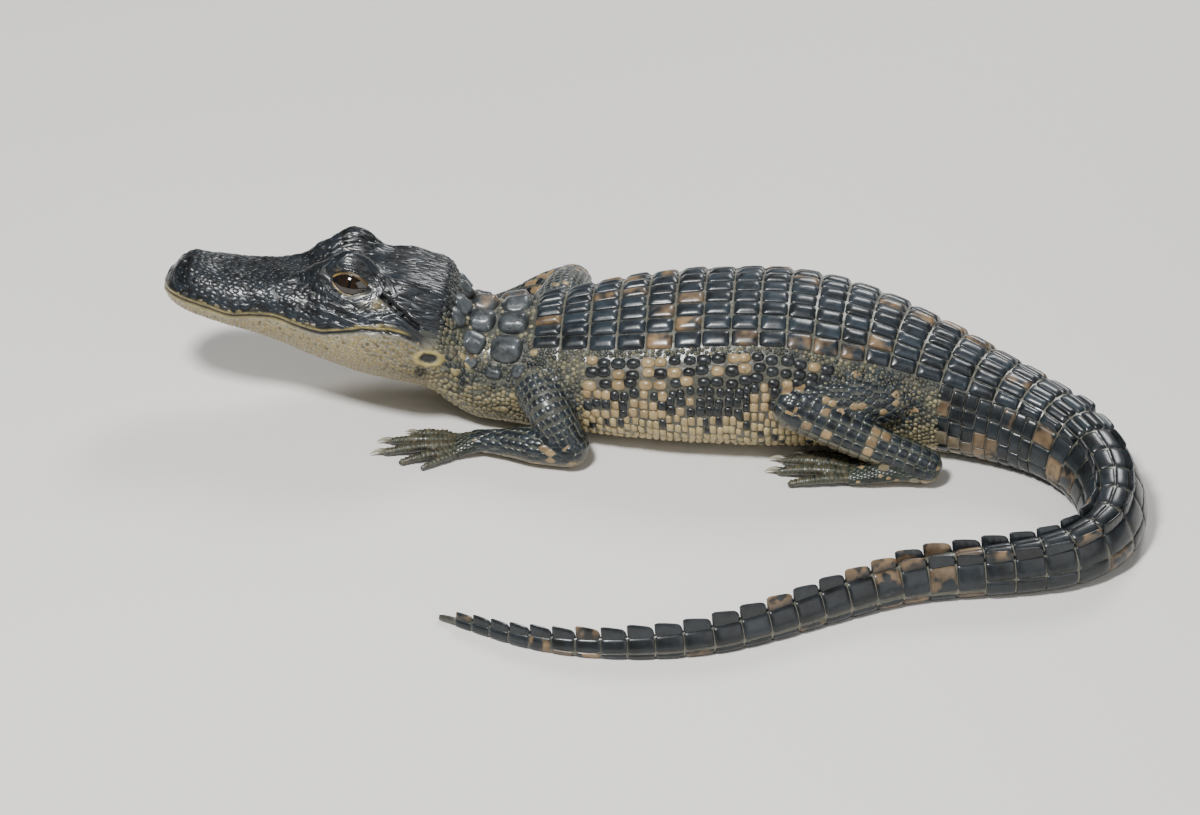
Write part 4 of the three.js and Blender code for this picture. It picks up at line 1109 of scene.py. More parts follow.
def layBack():
    coat, e, rows = newCoat("back_scutes"), backSettings, []
    for s0, s1 in whorls:
        mid = (s0 + s1) / 2
        if mid > shieldEndS:
            break
        columns = 4 if s1 <= ventS + 1 else 3
        width = float(keyed(shieldArcKeys, mid)) / columns
        for c in range(columns):
            outer = c == columns - 1
            high = e["keel"][c if columns == 4 else (1, 0, 0)[c]]
            if columns == 3:  # the outer column grows into the crest of the tail
                high = high * (1 - 0.55 * smooth((mid - ventS) / 40))
                high = high + (1.3 if outer else 0.0) * smooth((mid - ventS - 15) / 60)
            sizes = (s1 - s0) / 2 - e["gapLong"], width / 2 - e["gapWide"], high, e["tanShare"][c]
            rows += [(mid, side * (c + 0.5) * width, *sizes) for side in (-1, 1)]
    s, arc, long, wide, keel, tanChance = np.array(rows).T
    n = len(s)
    tan = (rng.random(n) < tanChance) * rng.uniform(0.6, 1.0, n)
    marks = {"tan": tan, "pale": 0.0, "tone": rng.uniform(-1, 1, n)}
    edge = e["edge"] * rng.uniform(0.9, 1.1, n)
    lift = scuteLift(edge, keel * rng.uniform(0.6, 1.25, n), rng.uniform(-1.6, 1.6, n))
    long, wide = long * rng.uniform(0.94, 1.0, n), wide * rng.uniform(0.93, 1.01, n)
    trunkScales(coat, scuteForm, s + rng.uniform(-0.3, 0.3, n), arc, long, wide, lift, marks, "project", 2.5)


# flanks: rows of oval knobs that turn to small squared tiles lower down, then the belly's flat tiles
flankSettings = {
    "perWhorl": (2, 2, 2, 3, 3, 3) + (4,) * 8,  # scales to a row of scutes, from the shield down
    "spacing": 5.3,
    "firstGap": 3.6,
    "height": 1.25,
    "from": -66,  # in front of this and behind the next the skin folds and only granules grow
    "to": 54,
    "bellyHalf": 34.0,
    "bellyTile": 7.0,
}


def layFlanks():
    knobs, tiles, belly = newCoat("flank_knobs"), newCoat("flank_tiles"), newCoat("belly_tiles")
    e, rows = flankSettings, []
    for j, count in enumerate(e["perWhorl"]):
        pitch = whorlLength / count
        for s0 in np.arange(e["from"], e["to"], pitch):
            reach = float(keyed(shieldArcKeys, s0)) + e["firstGap"]
            end = float(halfGirth(s0)) - e["bellyHalf"]
            lines = max(1, int(round((end - reach) / e["spacing"])))
            step, share = (end - reach) / lines, (j + 0.5) / lines
            if j < lines:
                rows += [(s0 + pitch / 2, side * (reach + (j + 0.5) * step), pitch, step, share, j) for side in (-1, 1)]
    s, arc, pitch, step, share, j = np.array(rows).T
    n = len(s)
    wave = softNoise(np.stack([s / 11, 4 * np.sign(arc), arc / 14], -1), 1, 83)
    s, arc = s + rng.normal(0, 0.08, n) * pitch + 0.7 * wave, arc + rng.normal(0, 0.07, n) * step + 1.3 * wave
    size = rng.uniform(0.86, 1.07, n)
    tan, pale = trunkMarks(s, arc)
    tone = rng.uniform(-1, 1, n)
    high = e["height"] * (1.2 - 0.5 * share) * rng.uniform(0.8, 1.15, n)
    for coat, form, part, power, fill in ((knobs, ovalForm, j < 4, 2.4, 1.0), (tiles, tileForm, j >= 4, 2.8, 0.98)):
        long, wide = 0.5 * pitch * size * fill, 0.5 * step * size * fill
        marks = {"tan": tan[part], "pale": pale[part], "tone": tone[part]}
        trunkScales(coat, form, s[part], arc[part], long[part], wide[part], domeLift(high[part], power), marks)
    rows = []
    for s0 in np.arange(neckEndS - 6, ventS + 1, whorlLength / 2) + e["bellyTile"] / 2:
        half = float(halfGirth(s0))
        for a in np.arange(half - e["bellyHalf"] + 3.5, half, e["bellyTile"]):
            rows += [(s0, side * a) for side in (-1, 1)]
    s, arc = np.array(rows).T
    n = len(s)
    tan, pale = trunkMarks(s, arc)
    marks = {"tan": tan * 0.3, "pale": np.maximum(pale, 0.85), "tone": rng.uniform(-1, 1, n)}
    trunkScales(belly, tileForm, s, arc, 3.2, 3.2, domeLift(0.5, 6), marks)


# tail: whorls of long tiles on the sides, upright crest plates on top
tailSettings = {"tile": 11.5, "gapLong": 0.3, "gapWide": 0.16, "height": 0.6}


def crestReach(s):  # arc from mid-back to where the side tiles start
    if s < shieldEndS:
        return float(keyed(shieldArcKeys, min(s, shieldTableEndS)))
    return 1.2 + (float(keyed(crestArcKeys, s)) if s < singleCrestS else 0.0)


def layTail():
    coat, e, rows = newCoat("tail_tiles"), tailSettings, []
    for s0, s1 in whorls:
        mid = (s0 + s1) / 2
        if s1 < ventS + 1:
            continue
        start, end = crestReach(mid), float(halfGirth(mid))
        narrow = e["tile"] * (1 - 0.35 * smooth((mid - 380) / 200))
        narrow = narrow * (0.72 + 0.28 * smooth((mid - 140) / 60))  # smaller tiles at the root of the tail
        parts = 2 if mid < 168 else 1
        count = max(1, int(round((end - start) / narrow)))
        step = (end - start) / count
        long, wide = ((s1 - s0) / 2 - e["gapLong"]) / parts, step / 2 - e["gapWide"]
        high = e["height"] * (1 - 0.35 * smooth((mid - 450) / 130))
        for j in range(count):
            for k in range(parts):
                s = s0 + (k + 0.5) * (s1 - s0) / parts
                rows += [(s, side * (start + (j + 0.5) * step), long, wide, high) for side in (-1, 1)]
        inner = start - 2.7
        if shieldEndS < mid < singleCrestS - 10 and inner > 3.2:  # a flat pair between the two crests
            rows += [(mid, side * inner / 2, long, inner / 2 - e["gapWide"], e["height"]) for side in (-1, 1)]
    s, arc, long, wide, high = np.array(rows).T
    n = len(s)
    tan, pale = trunkMarks(s, arc)
    marks = {"tan": tan * rng.uniform(0.4, 1, n), "pale": 0.4 * pale, "tone": rng.uniform(-1, 1, n)}
    lift = domeLift(high * rng.uniform(0.85, 1.15, n), 8)
    trunkScales(coat, longTileForm, s, arc, long, wide, lift, marks, "project", 2)


crestOutline = [0, 0.05, 0.14, 0.3, 0.6, 0.86, 0.96, 1], [0, 0.42, 0.66, 0.78, 0.92, 1, 0.88, 0]  # along it, height


def crestLobe(s0, s1, arc, high, thick, lean):  # an upright ribbed blade that leans back, its upper corners rounded
    along = np.concatenate([[0.0, 0.015], np.linspace(0.05, 0.95, 14), [0.985, 1.0]])
    outline = np.interp(along, *crestOutline)
    f, w = np.meshgrid(along, np.linspace(-1, 1, 13), indexing="ij")
    top = outline[:, None] * (1 - np.abs(w) ** 1.9) ** 0.75
    s = s0 + f * (s1 - s0) + 0.2 * high * top * (0.3 + 0.7 * f)
    angle = angleAtArc(s0 + along * (s1 - s0), arc)
    _, _, left = spineAt(s)
    ribs = 1 + 0.07 * np.cos(along * 26 + s0)[:, None]
    half = thick / 2 * np.minimum(1, 6 * np.minimum(f, 1 - f) + 0.35) * ribs
    p = bodyPoint(s, np.repeat(angle[:, None], f.shape[1], 1)) + left * (w * half + lean * high * top)[..., None]
    p[..., 2] += top * high - 1.2 * (1 - top) * (np.abs(w) > 0.95)
    return p.reshape(-1, 3), gridTriangles(*f.shape), f.ravel(), top.ravel(), trunkUv((s0 + s1) / 2, angle.mean())


def layCrests():
    coat = newCoat("tail_crests")
    for s0, s1 in whorls:
        mid = (s0 + s1) / 2
        if mid < shieldEndS:
            continue
        high = float(keyed(crestHeightKeys, mid))
        for side in (-1, 1) if mid < singleCrestS else (0,):
            arc = side * float(keyed(crestArcKeys, min(mid, singleCrestS)))
            grow = rng.uniform(0.92, 1.06)
            thick = (3.0 if side else 2.8) * min(1, 0.45 + high / 8)
            p, tris, f, top, uv = crestLobe(s0 + 0.1, s1 - 0.1, arc, high * grow, thick, side * 0.22)
            tan = float(rng.random() < 0.08 + 0.4 * tailBand(mid, 0.2)) * rng.uniform(0.6, 1.0)
            tone = rng.uniform(-1, 1)
            marks = {"rim": 1 - top, "tan": tan * smooth((top - 0.1) / 0.4), "pale": 0 * top, "tone": 0 * top + tone}
            coat.add(p, tris, uv + 0.0012 * np.stack([f * 2 - 1, top * 2 - 1], 1), marks)


# neck: nine pairs of shields among fine granules, ovals on the sides and rows of small scales on the throat
nuchals = [  # s, arc, half length, half width, height
    (-102.2, 8.1, 7.9, 7.9, 4.3),
    (-118.2, 7.9, 7.6, 7.7, 4.4),
    (-104.5, 24.2, 8.2, 7.6, 4.3),
    (-121.5, 22.4, 6.6, 6.2, 3.4),
    (-131.8, 6.9, 5.6, 6.3, 3.2),
    (-133.4, 18.6, 4.6, 4.6, 2.4),
    (-98.0, 36.2, 3.9, 3.6, 2.2),
    (-110.5, 36.4, 4.4, 3.4, 1.9),
    (-122.5, 33.0, 3.4, 3.2, 1.6),
]
neckSettings = {
    "grain": 2.5,  # mm from one granule to the next
    "height": 0.68,
    "ovalShare": 0.03,
    "foldGrain": 2.45,
    "foldGap": 1.0,
    "foldEnd": 120,
    "stripGrain": 2.0,
}


def granuleSpots(start, end, step, inner=None):  # staggered rows round the body, jittered
    rows = []
    for i, row in enumerate(np.arange(start, end, step * 0.95)):
        first = 0.0 if inner is None else float(keyed(shieldArcKeys, row)) + inner
        for a in np.arange((i % 2) * step / 2 + first, float(halfGirth(row)), step):
            rows += [(row, side * a) for side in (-1, 1)]
    s, arc = np.array(rows).T
    return s + rng.normal(0, 0.16, len(s)) * step, arc + rng.normal(0, 0.16, len(s)) * step


def layGranules(coat, s, arc, step, ovalShare):
    n = len(s)
    share = flankShare(s, arc)
    oval = (rng.random(n) < ovalShare) & (share > 0.02) & (share < 0.45)
    size = rng.uniform(0.86, 1.1, n) * np.where(oval, 1.5, 1)
    tan, _ = trunkMarks(s, arc)
    throat = smooth((share - 0.36) / 0.2)
    tan = np.maximum(tan * smooth((share - 0.2) / 0.2), np.where(oval, 0.95, 0)) * (1 - 0.65 * throat)
    # granules on the neck's side and in the folds turn pale at random in patches: partly their own grey, partly painted
    # highlight for the glints on their tops
    palePatch = np.clip(0.45 + 0.6 * softNoise(np.stack([s / 9, arc / 7, 3 * np.sign(arc)], -1), 1, 84), 0, 1)
    greyAndPaintedGlint = smooth((0.6 - share) / 0.2) * rng.uniform(0.0, 1.0, n) * palePatch * smooth((s - occiputS) / 14 + share / 0.3)
    marks = {"tan": tan, "pale": np.maximum(throat * 0.95, np.where(oval, 0, greyAndPaintedGlint)), "tone": rng.uniform(-1, 1, n)}
    lift = domeLift(neckSettings["height"] * size * (1 - 0.25 * throat), 2.6)
    long, wide = 0.52 * step * size * np.where(oval, 1.25, 1), 0.5 * step * size
    trunkScales(coat, pebbleForm, s, arc, long, wide, lift, marks, slack=3.0)


def layNeck():
    shields, grains, folds = newCoat("neck_shields"), newCoat("neck_granules"), newCoat("fold_granules")
    e, front, rear = neckSettings, flankSettings["from"], flankSettings["to"]
    rows = np.array([(s, side * arc, *sizes) for s, arc, *sizes in nuchals for side in (-1, 1)])
    at, off, long, wide, high = rows.T
    n = len(rows)
    marks = {"tan": (rng.random(n) < 0.2) * 0.7, "pale": 0.0, "tone": rng.uniform(-0.2, 1, n)}
    lift = scuteLift(high * 0.42, high * 0.58, rng.uniform(-1, 1, n), rise=0.4, ribs=0.22)
    trunkScales(shields, shieldForm, at, off, long, wide, lift, marks, "project", 3)
    s, arc = granuleSpots(occiputS + 1, neckEndS + 5, e["grain"])
    free = (s <= neckEndS - 0.5) | (np.abs(arc) >= keyed(shieldArcKeys, neckEndS) + 1)
    for x, y, long, wide, _ in rows:
        free &= (np.abs(s - x) / (long + 0.4)) ** 2.9 + (np.abs(arc - y) / (wide + 0.4)) ** 2.9 >= 1
    free &= ringReach(toHead(bodyPoint(s, angleAtArc(s, arc)))) >= 1.1
    layGranules(grains, s[free], arc[free], e["grain"], e["ovalShare"])
    for start, end in ((neckEndS + 5, front), (rear, e["foldEnd"])):  # round the limbs' roots
        s, arc = granuleSpots(start, end, e["foldGrain"], e["foldGap"])
        layGranules(folds, s, arc, e["foldGrain"], 0.012)
    s, arc = granuleSpots(front, rear, e["stripGrain"], 0.4)  # the wrinkled strip under the shield
    part = np.abs(arc) < keyed(shieldArcKeys, s) + flankSettings["firstGap"]
    layGranules(folds, s[part], arc[part], e["stripGrain"], 0.0)


# head: granules on the lower jaw and throat, long pebbles and wrinkle lobes on the upper jaw and skull
jawSettings = {"grain": 1.95, "height": 0.27}


def headSpots(xs, step):  # staggered rings round the head
    rows = []
    ring = np.linspace(-math.pi, math.pi, 721)
    for i, x in enumerate(xs):
        run = np.concatenate([[0], np.cumsum(np.linalg.norm(np.diff(headPoint(x, ring), axis=0), axis=1))])
        places = np.arange((i % 2) * step / 2, run[-1], step)
        rows.append(np.stack([0 * places + x, np.interp(places, run, ring)], 1))
    return np.vstack(rows).T


def headScales(coat, form, x, angle, tree, long, wide, height, marks, turn=0.0, swirl=0.0):
    p, along, _, normal = surfaceFrame(lambda a, b: fromHead(headPoint(a, b)), x, angle)
    normal = turnedFrom(fromHead(np.stack([x, 0 * x, 0 * x + 5], 1)), p, normal)
    keep, _, _ = settle(p, normal, 2.6)
    place, soft, _ = onSkin(p, tree)
    swirl = swirl + 0 * along
    swirl = swirl * np.where((swirl * along).sum(1) < 0, -1, 1)[:, None]
    along = unit(along * (1 - np.linalg.norm(swirl, axis=1, keepdims=True)) + swirl)
    along, across = flattened(along, soft)
    c, q = np.cos(turn), np.sin(turn)
    frame = (place, along * c + across * q, across * c - along * q, soft)
    placeScales(coat, form, keep, frame, long, wide, height, marks, headUv(x, angle), "flat", tree)


def layJaw():
    coat, step = newCoat("jaw_granules"), jawSettings["grain"]
    x, angle = headSpots(np.arange(-3, 135, step * 0.98), step)
    h = headPoint(x, angle)
    limit = keyed(mouthKeys, np.maximum(x, 4)) - 2.3 + np.clip((12 - x) * 0.35, 0, 9)
    part = (h[:, 2] < limit) & (ringReach(h) > 1.1)
    x, angle, h = x[part], angle[part], h[part]
    n = len(x)
    x, angle = x + rng.normal(0, 0.24, n), angle + rng.normal(0, 0.01, n)
    size = rng.uniform(0.84, 1.1, n)
    fromTop = np.abs((angle + math.pi) % (2 * math.pi) - math.pi)
    speckled = 0.12 + 0.2 * smooth((50 - x) / 40) + 0.2 * softNoise(np.stack([x, angle * 20, 0 * x], 1), 8, 91)
    speck = (rng.random(n) < speckled) * smooth((2.4 - fromTop) / 0.5) * rng.uniform(0.5, 1, n)
    dusky = (1 - 0.4 * smooth((48 - x) / 40) * smooth((h[:, 2] + 14) / 12)) * np.where(greyDepth(h) > 0, 0.1, 1)
    marks = {"tan": 0.25 * rng.random(n), "pale": dusky * (1 - 0.8 * speck), "tone": rng.uniform(-1, 1, n)}
    lift = domeLift(jawSettings["height"] * size, 2.5, 1, 0)
    headScales(coat, granuleForm, x, angle, skinTree, 0.53 * step * size, 0.5 * step * size, lift, marks)


headScaleSettings = {
    "rings": ((-1.5, 58, 6.6, 2.5), (58, 137, 3.4, 2.45)),  # from, to, mm between rings and mm round them
    "snout": (2.2, 1.36, 0.3),  # half length, half width, height
    "skull": (6.2, 1.5, 0.4),
    "turn": 0.4,  # radians of scatter
}


def layHeadScales():
    coat, e = newCoat("head_pebbles"), headScaleSettings
    x, angle = np.hstack([headSpots(np.arange(start, end, gap), step) for start, end, gap, step in e["rings"]])
    n = len(x)
    skull = smooth((62 - x) / 10)
    x, angle = x + rng.normal(0, 0.8, n) * (1 + skull), angle + rng.normal(0, 0.03, n)
    h = headPoint(x, angle)
    gap = h[:, 2] - keyed(mouthKeys, np.clip(x, 4, headLength))
    off, over = segmentDistance(h[:, 0], h[:, 2], *reliefSettings["ear"])
    slit = bump(over, 2.0) * (np.abs(off) < 2.7) * (np.abs(h[:, 1]) > 23)
    nostrilX, nostrilY = reliefSettings["nostril"]
    pit = np.hypot(h[:, 0] - nostrilX, np.abs(h[:, 1]) - nostrilY) < 2.6
    part = (gap > 1.9 + 3 * smooth((10 - x) / 8)) & (slit < 0.5) & ~pit
    swirl = np.zeros((n, 3))
    for side in (-1, 1):  # wrinkles run round the eye, none grow on the lids
        centre, forward, upward, look = eyeAxes(side)
        d = h - centre
        a, b, facing = d @ forward, d @ upward, (d @ look) > 0
        reach = np.hypot(a / (eyeSettings["halfLength"] + 4.6), b / (eyeSettings["halfHeight"] + 4.9))
        part &= ~(facing & (reach < 1))
        ring = unit(forward * b[:, None] - upward * a[:, None])
        swirl += ring * (bump(np.maximum(reach - 1, 0), 0.7) * facing)[:, None]
    x, angle, swirl, skull, gap = x[part], angle[part], swirl[part], skull[part], gap[part]
    n = len(x)
    turn = rng.normal(0, e["turn"], n)[:, None] * (1 - 0.6 * skull[:, None])
    long, wide, high = (e["snout"][k] * (1 - skull) + e["skull"][k] * skull for k in range(3))
    fine = 1 - 0.35 * smooth((4.5 - gap) / 2.5)  # a finely beaded lip
    size = rng.uniform(0.75, 1.12, n)
    lift = domeLift(high * fine * rng.uniform(0.6, 1.2, n), 2.6, 1, 0)
    lip = bump(gap - 2.3, 0.7) * smooth((x - 14) / 10)
    h = headPoint(x, angle)
    palePatch = np.clip(1.2 * creamPatch(h), 0, 1) * rng.uniform(0.7, 1, n)
    corner = cheekCorner(h) * rng.uniform(0.2, 0.8, n)
    # lighter towards the mouth line, darker on top
    tone = rng.uniform(-0.6, 0.6, n) + 1.6 * smooth((11 - gap) / 6) - 0.6
    marks = {"tan": 0.75 * lip, "pale": np.clip(palePatch + corner, 0, 1), "tone": tone}
    marks["skull"] = np.clip(1 - lip - palePatch - corner, 0, 1)
    long, wide = long * (1 - 0.55 * palePatch) * size * fine, wide * fine
    headScales(coat, pebbleForm, x, angle, carvedTree, long, wide, lift, marks, turn, swirl @ headRot.T)


# limbs: flat lozenge scales in staggered rows, squared plates on upper arm and shank, cross bands on the toes
limbSettings = {
    "step": {  # mm from scale to scale
        "fore_root": 4.0, "fore_lower": 4.7, "fore_palm": 2.6, "hind_root": 4.4, "hind_lower": 5.8, "hind_palm": 2.6,
    },
    "squared": ("fore_root", "hind_lower"),
    "past": {"root": 6, "lower": 3, "palm": 1},  # mm that the rows run on past the end
    "height": 0.5,
    "tanShare": 0.1,
}


def limbScales(coat, form, index, tube, mm, angle, slack, long, wide, lift, marks):
    p, along, _, normal = surfaceFrame(tube.point, mm, angle)
    normal = turnedFrom(tube.frameAt(mm / tube.length)[0], p, normal)
    keep, place, soft = settle(p, normal, slack)
    frame = (place, *flattened(along, soft), soft)
    placeScales(coat, form, keep, frame, long, wide, lift, marks, tubeUv(index, mm / tube.length, angle))


def limbRows(tube, step, squared):  # place, angle and size of the scales of a limb, row after row
    rows, rowGap = [], step * (0.92 if squared else 0.72)
    start, end = (4 if tube.kind == "root" else -6), tube.length + limbSettings["past"][tube.kind]
    for i, at in enumerate(np.arange(start, end, rowGap)):
        t = np.clip(at / tube.length, 0, 1)
        w, h = float(keyed(tube.wide, t)), float(keyed(tube.thick, t))
        shrink = math.sqrt(max(1 - (max(-at, at - tube.length, 0) / min(w, h)) ** 2, 0.05))
        girth = math.pi * (3 * (w + h) - math.sqrt((3 * w + h) * (w + 3 * h))) * shrink
        count = max(6, int(round(girth / step)))
        shift = 0 if squared else (i % 2) * 0.5
        rows += [(at, (k + shift) / count * 2 * math.pi, girth / count, rowGap) for k in range(count)]
    return np.array(rows).T


def layLimbs():
    arms, feet, e = newCoat("limb_scales"), newCoat("foot_scales"), limbSettings
    for index, tube in enumerate(tubes):
        if tube.kind == "toe":
            layToe(feet, index, tube)
            continue
        kind = tube.name.split("_")[0] + "_" + tube.kind
        palm, squared = tube.kind == "palm", kind in e["squared"]
        step = e["step"][kind]
        mm, angle, size, rowGap = limbRows(tube, step, squared)
        n = len(mm)
        mm = mm + rng.normal(0, 0.02, n) * step
        big = rng.uniform(0.95, 1.03, n)
        under = smooth((-np.sin(angle) - 0.35) / 0.5)
        few = palm or tube.name == "fore_left" and tube.kind == "root"
        tanShare = e["tanShare"] * (0.3 if few else 2.2 if "right" in tube.name else 1.0)
        tan = (rng.random(n) < tanShare) * rng.uniform(0.6, 1, n)
        marks = {"tan": np.maximum(tan, 0.3 * under), "pale": 0.7 * under, "tone": rng.uniform(-1, 1, n)}
        lift = domeLift(e["height"] * step / 4.2 * rng.uniform(0.85, 1.15, n), 4, 0.8, 0, 0.16)
        long, wide = (0.52 if squared else 1.0) * rowGap * big, (0.485 if squared else 0.52) * size * big
        coat, form = feet if palm else arms, tileForm if squared else lozengeForm
        limbScales(coat, form, index, tube, mm, angle, 1.3, long, wide, lift, marks)


def layToe(coat, index, tube):
    long, rows = 1.05, []
    for at in np.arange(1.2, tube.length - 0.2, 2 * long + 0.12):
        rows += [(at, math.pi / 2, 1.0, 0.92)]
        rows += [(at, math.pi / 2 + side * 1.25, 0.9, 0.55) for side in (-1, 1)]
    mm, angle, longShare, wideShare = np.array(rows).T
    n = len(mm)
    marks = {"tan": 0.15 * rng.random(n), "pale": 0.12 * rng.random(n), "tone": rng.uniform(-1, 1, n)}
    wide, lift = keyed(tube.wide, mm / tube.length) * wideShare, domeLift(0.36, 3, 1, 0, 0.1)
    limbScales(coat, pebbleForm, index, tube, mm, angle, 1.0, long * longShare, wide, lift, marks)


for lay in (layBack, layFlanks, layTail, layCrests, layNeck, layJaw, layHeadScales, layLimbs):
    lay()
print("scales laid", {coat.name: sum(len(t) for t in coat.tris) for coat in coats})


# eyelids: a thin rim on the ball, then folds and fine wrinkles that run out into the brow and cheek
lidSettings = {
    "reach": 7.4,
    "rings": 44,
    "around": 168,
    "inside": -1.1,
    "folds": (  # mm from the rim, width and height: of the upper lid, then of the lower one
        ((2.2, 0.75, 0.75), (3.3, 0.35, -0.4), (4.2, 0.7, 0.35)),
        ((2.3, 0.7, 0.3), (3.2, 0.4, -0.25), (4.1, 0.6, 0.22)),
    ),
}
eyeBall = {"long": 11.6, "tall": 9.2, "deep": 8.8, "iris": 7.4, "cornea": 0.5, "slit": 0.75, "slitHalf": 4.6}


def layLids():
    coat = newCoat("eyelids")
    e, count = eyeSettings, lidSettings["around"]
    theta = np.linspace(0, 2 * math.pi, count, endpoint=False)
    ease = theta + 0.22 * np.sin(2 * theta)  # more points at the corners
    c, q = np.cos(ease), np.sin(ease)
    for side in (-1, 1):
        centre, forward, upward, look = eyeAxes(side)
        u, v = e["halfLength"] * c, np.sign(q) * almondHeight(c, q > 0) * e["halfHeight"]
        way = unit(np.stack([c * 0.55 + 0.45 * np.sign(c) * np.abs(c) ** 3, q * 1.5], 1))
        upper, lower = smooth((q + 0.1) / 0.5), smooth((-q + 0.1) / 0.5)
        front, rear = smooth((c - 0.45) / 0.4), smooth((-c - 0.35) / 0.4)
        middle = 1 - 0.75 * np.maximum(smooth((c - 0.7) / 0.3), smooth((-c - 0.7) / 0.3))
        noisy = np.stack([3.2 * np.cos(theta), 3.2 * np.sin(theta), 0 * theta + 3.3 * side], 1)
        wave = softNoise(noisy, 0.8, 97)
        rows, tans, pales = [], [], []
        start = lidSettings["inside"]
        for out in start + (lidSettings["reach"] - start) * np.linspace(0, 1, lidSettings["rings"]) ** 1.25:
            far = max(out, 0.0)
            a, b = u + way[:, 0] * (out + 0.1 * far * upper), v + way[:, 1] * out
            inside = np.clip(1 - (a / eyeBall["long"]) ** 2 - (b / eyeBall["tall"]) ** 2, 0.05, 1)
            rise = 0.5 * smooth((out + 0.5) / 0.5) - 0.9 * smooth((-0.35 - out) / 0.7)
            deep = np.sqrt(inside) * eyeBall["deep"] + rise
            p = fromHead(centre + forward * a[:, None] + upward * b[:, None] + look * deep[:, None])
            place, normal, _ = onSkin(p)
            share = smooth((out - 0.7) / 2.4)
            near = out + 0.25 * wave
            fold = 0.42 * bump(near - 0.45, 0.5) - 0.3 * bump(near - 1.35, 0.35)
            for part, folds in zip((upper, lower), lidSettings["folds"]):
                fold = fold + part * middle * sum(high * bump(near - at, width) for at, width, high in folds)
            spread = np.stack([2.6 * a, 1.1 * b + 2.2 * out, 0 * a + 5 * side], 1)
            fold = fold + 0.13 * softNoise(spread, 1.7, 98) * smooth((out - 0.9) / 0.8)
            edge = smooth((lidSettings["reach"] - out) / 1.6)
            normal = unit(normal * share + (look @ headRot.T) * (1 - share) + 1e-9)
            p = p * (1 - share) + place * share + normal * ((fold + 0.25 * share) * edge - 0.55 * (1 - edge))[:, None]
            rows.append(p)
            rim = bump(max(abs(out - 0.5) - 0.35, 0), 0.45)
            cream = smooth((out + 0.2) / 0.4) * smooth((3.6 - out) / 1.6) * rear * smooth((0.35 - q) / 0.5)
            gold = bump(out - 1.2, 1.0) * front * smooth((q + 0.1) / 0.3)
            tans.append(np.clip(rim * (0.35 * lower + 0.25 * upper) + gold, 0, 1))
            pales.append(np.clip(rim * lower * 0.75 + 0.85 * cream, 0, 1))
        r = len(rows)
        tris = gridTriangles(r, count, True)[:, ::-side]
        tan, pale = np.concatenate(tans), np.concatenate(pales)
        uv = headUv(e["x"] + np.tile(u, r), side * 1.1 + 0 * tan)
        uv[:, 1] += 0.001 * np.repeat(np.arange(r) / r, count)
        marks = {"rim": 0 * tan, "tan": tan, "pale": pale, "tone": np.tile(0.4 * wave, r)}
        marks["skull"] = 1 - np.maximum(tan, pale)
        coat.add(np.vstack(rows), tris, uv, marks)


def eyeMesh(side):
    centre, forward, upward, look = eyeAxes(side)
    polar = np.concatenate([np.linspace(0, 1.05, 60), np.linspace(1.08, math.pi, 24)])
    a, b = np.meshgrid(polar, np.linspace(0, 2 * math.pi, 96, endpoint=False), indexing="ij")
    u = np.sin(a) * np.cos(b) * eyeBall["long"]
    v = np.sin(a) * np.sin(b) * eyeBall["tall"]
    w = np.cos(a) * eyeBall["deep"]
    rho = np.hypot(u, v) / eyeBall["iris"]
    w = w + np.where(w > 0, eyeBall["cornea"] * np.clip(1 - rho**2, 0, 1), 0)
    p = centre + u[..., None] * forward + v[..., None] * upward + w[..., None] * look
    points, tris = loftTriangles(p[1:-1])
    points[-2:] = p[0, 0], p[-1, 0]
    half = eyeBall["slit"] * np.sqrt(np.clip(1 - (v / eyeBall["slitHalf"]) ** 2, 0, 1))

    def flat(values):
        return np.concatenate([values[1:-1].ravel(), [values[0, 0], values[-1, 0]]])

    marks = {
        "irisReach": flat(np.where(w > 0, rho, 3.0)),
        "irisTurn": flat(np.abs(b - math.pi) / math.pi),
        "slit": flat(smooth((half - np.abs(u) + 0.1) / 0.25) * (w > 0)),
    }
    return fromHead(points), tris[:, ::side], np.stack([0.5 + flat(u) / 40, 0.5 + flat(v) / 40], 1), marks


def clawRings(tip, heading, length, radius):
    f = np.array([-0.45, -0.2, 0.05, 0.25, 0.42, 0.58, 0.72, 0.84, 0.93, 0.99])
    share = np.array([0.9, 1.05, 1.0, 0.86, 0.72, 0.56, 0.41, 0.27, 0.15, 0.05])
    side = unit(np.cross(heading, (0, 0, 1)))
    up = np.array([0, 0, 1.0])
    arch = 0.14 * np.sin(np.clip(f, 0, 1) * math.pi * 0.9) - 0.2 * np.clip(f, 0, 1) ** 2
    centre = tip + heading * (f * length)[:, None] + up * (arch * length)[:, None]
    a = np.linspace(0, 2 * math.pi, 14, endpoint=False)
    ring = side * np.cos(a)[:, None] * 0.82 + up * np.sin(a)[:, None]
    return centre[:, None] + ring[None] * (share * radius)[:, None, None], f


def clawCoat():
    claws = Coat("claws")
    for name, limb in limbs.items():
        for i, (turn, length, radius, offset, clawLength) in enumerate(limbShapes[name.split("_")[0]]["toes"]):
            if clawLength == 0:
                continue
            heading = toeHeading(limb, turn)
            tip = toeRoot(limb, offset) + heading * length
            tip[2] = radius * 0.86
            rings, f = clawRings(tip, heading, clawLength, radius * 0.6)
            p, tris = loftTriangles(rings)
            p[:, 2] = np.maximum(p[:, 2], 0.03)
            rim = np.concatenate([np.repeat(f, rings.shape[1]), [f[0], f[-1]]])
            claws.add(p, tris, np.stack([0.4 + 0.02 * i + 0 * rim, 0.6 + 0.1 * rim], 1), {"rim": rim})
    return claws


layLids()
print("lids laid")


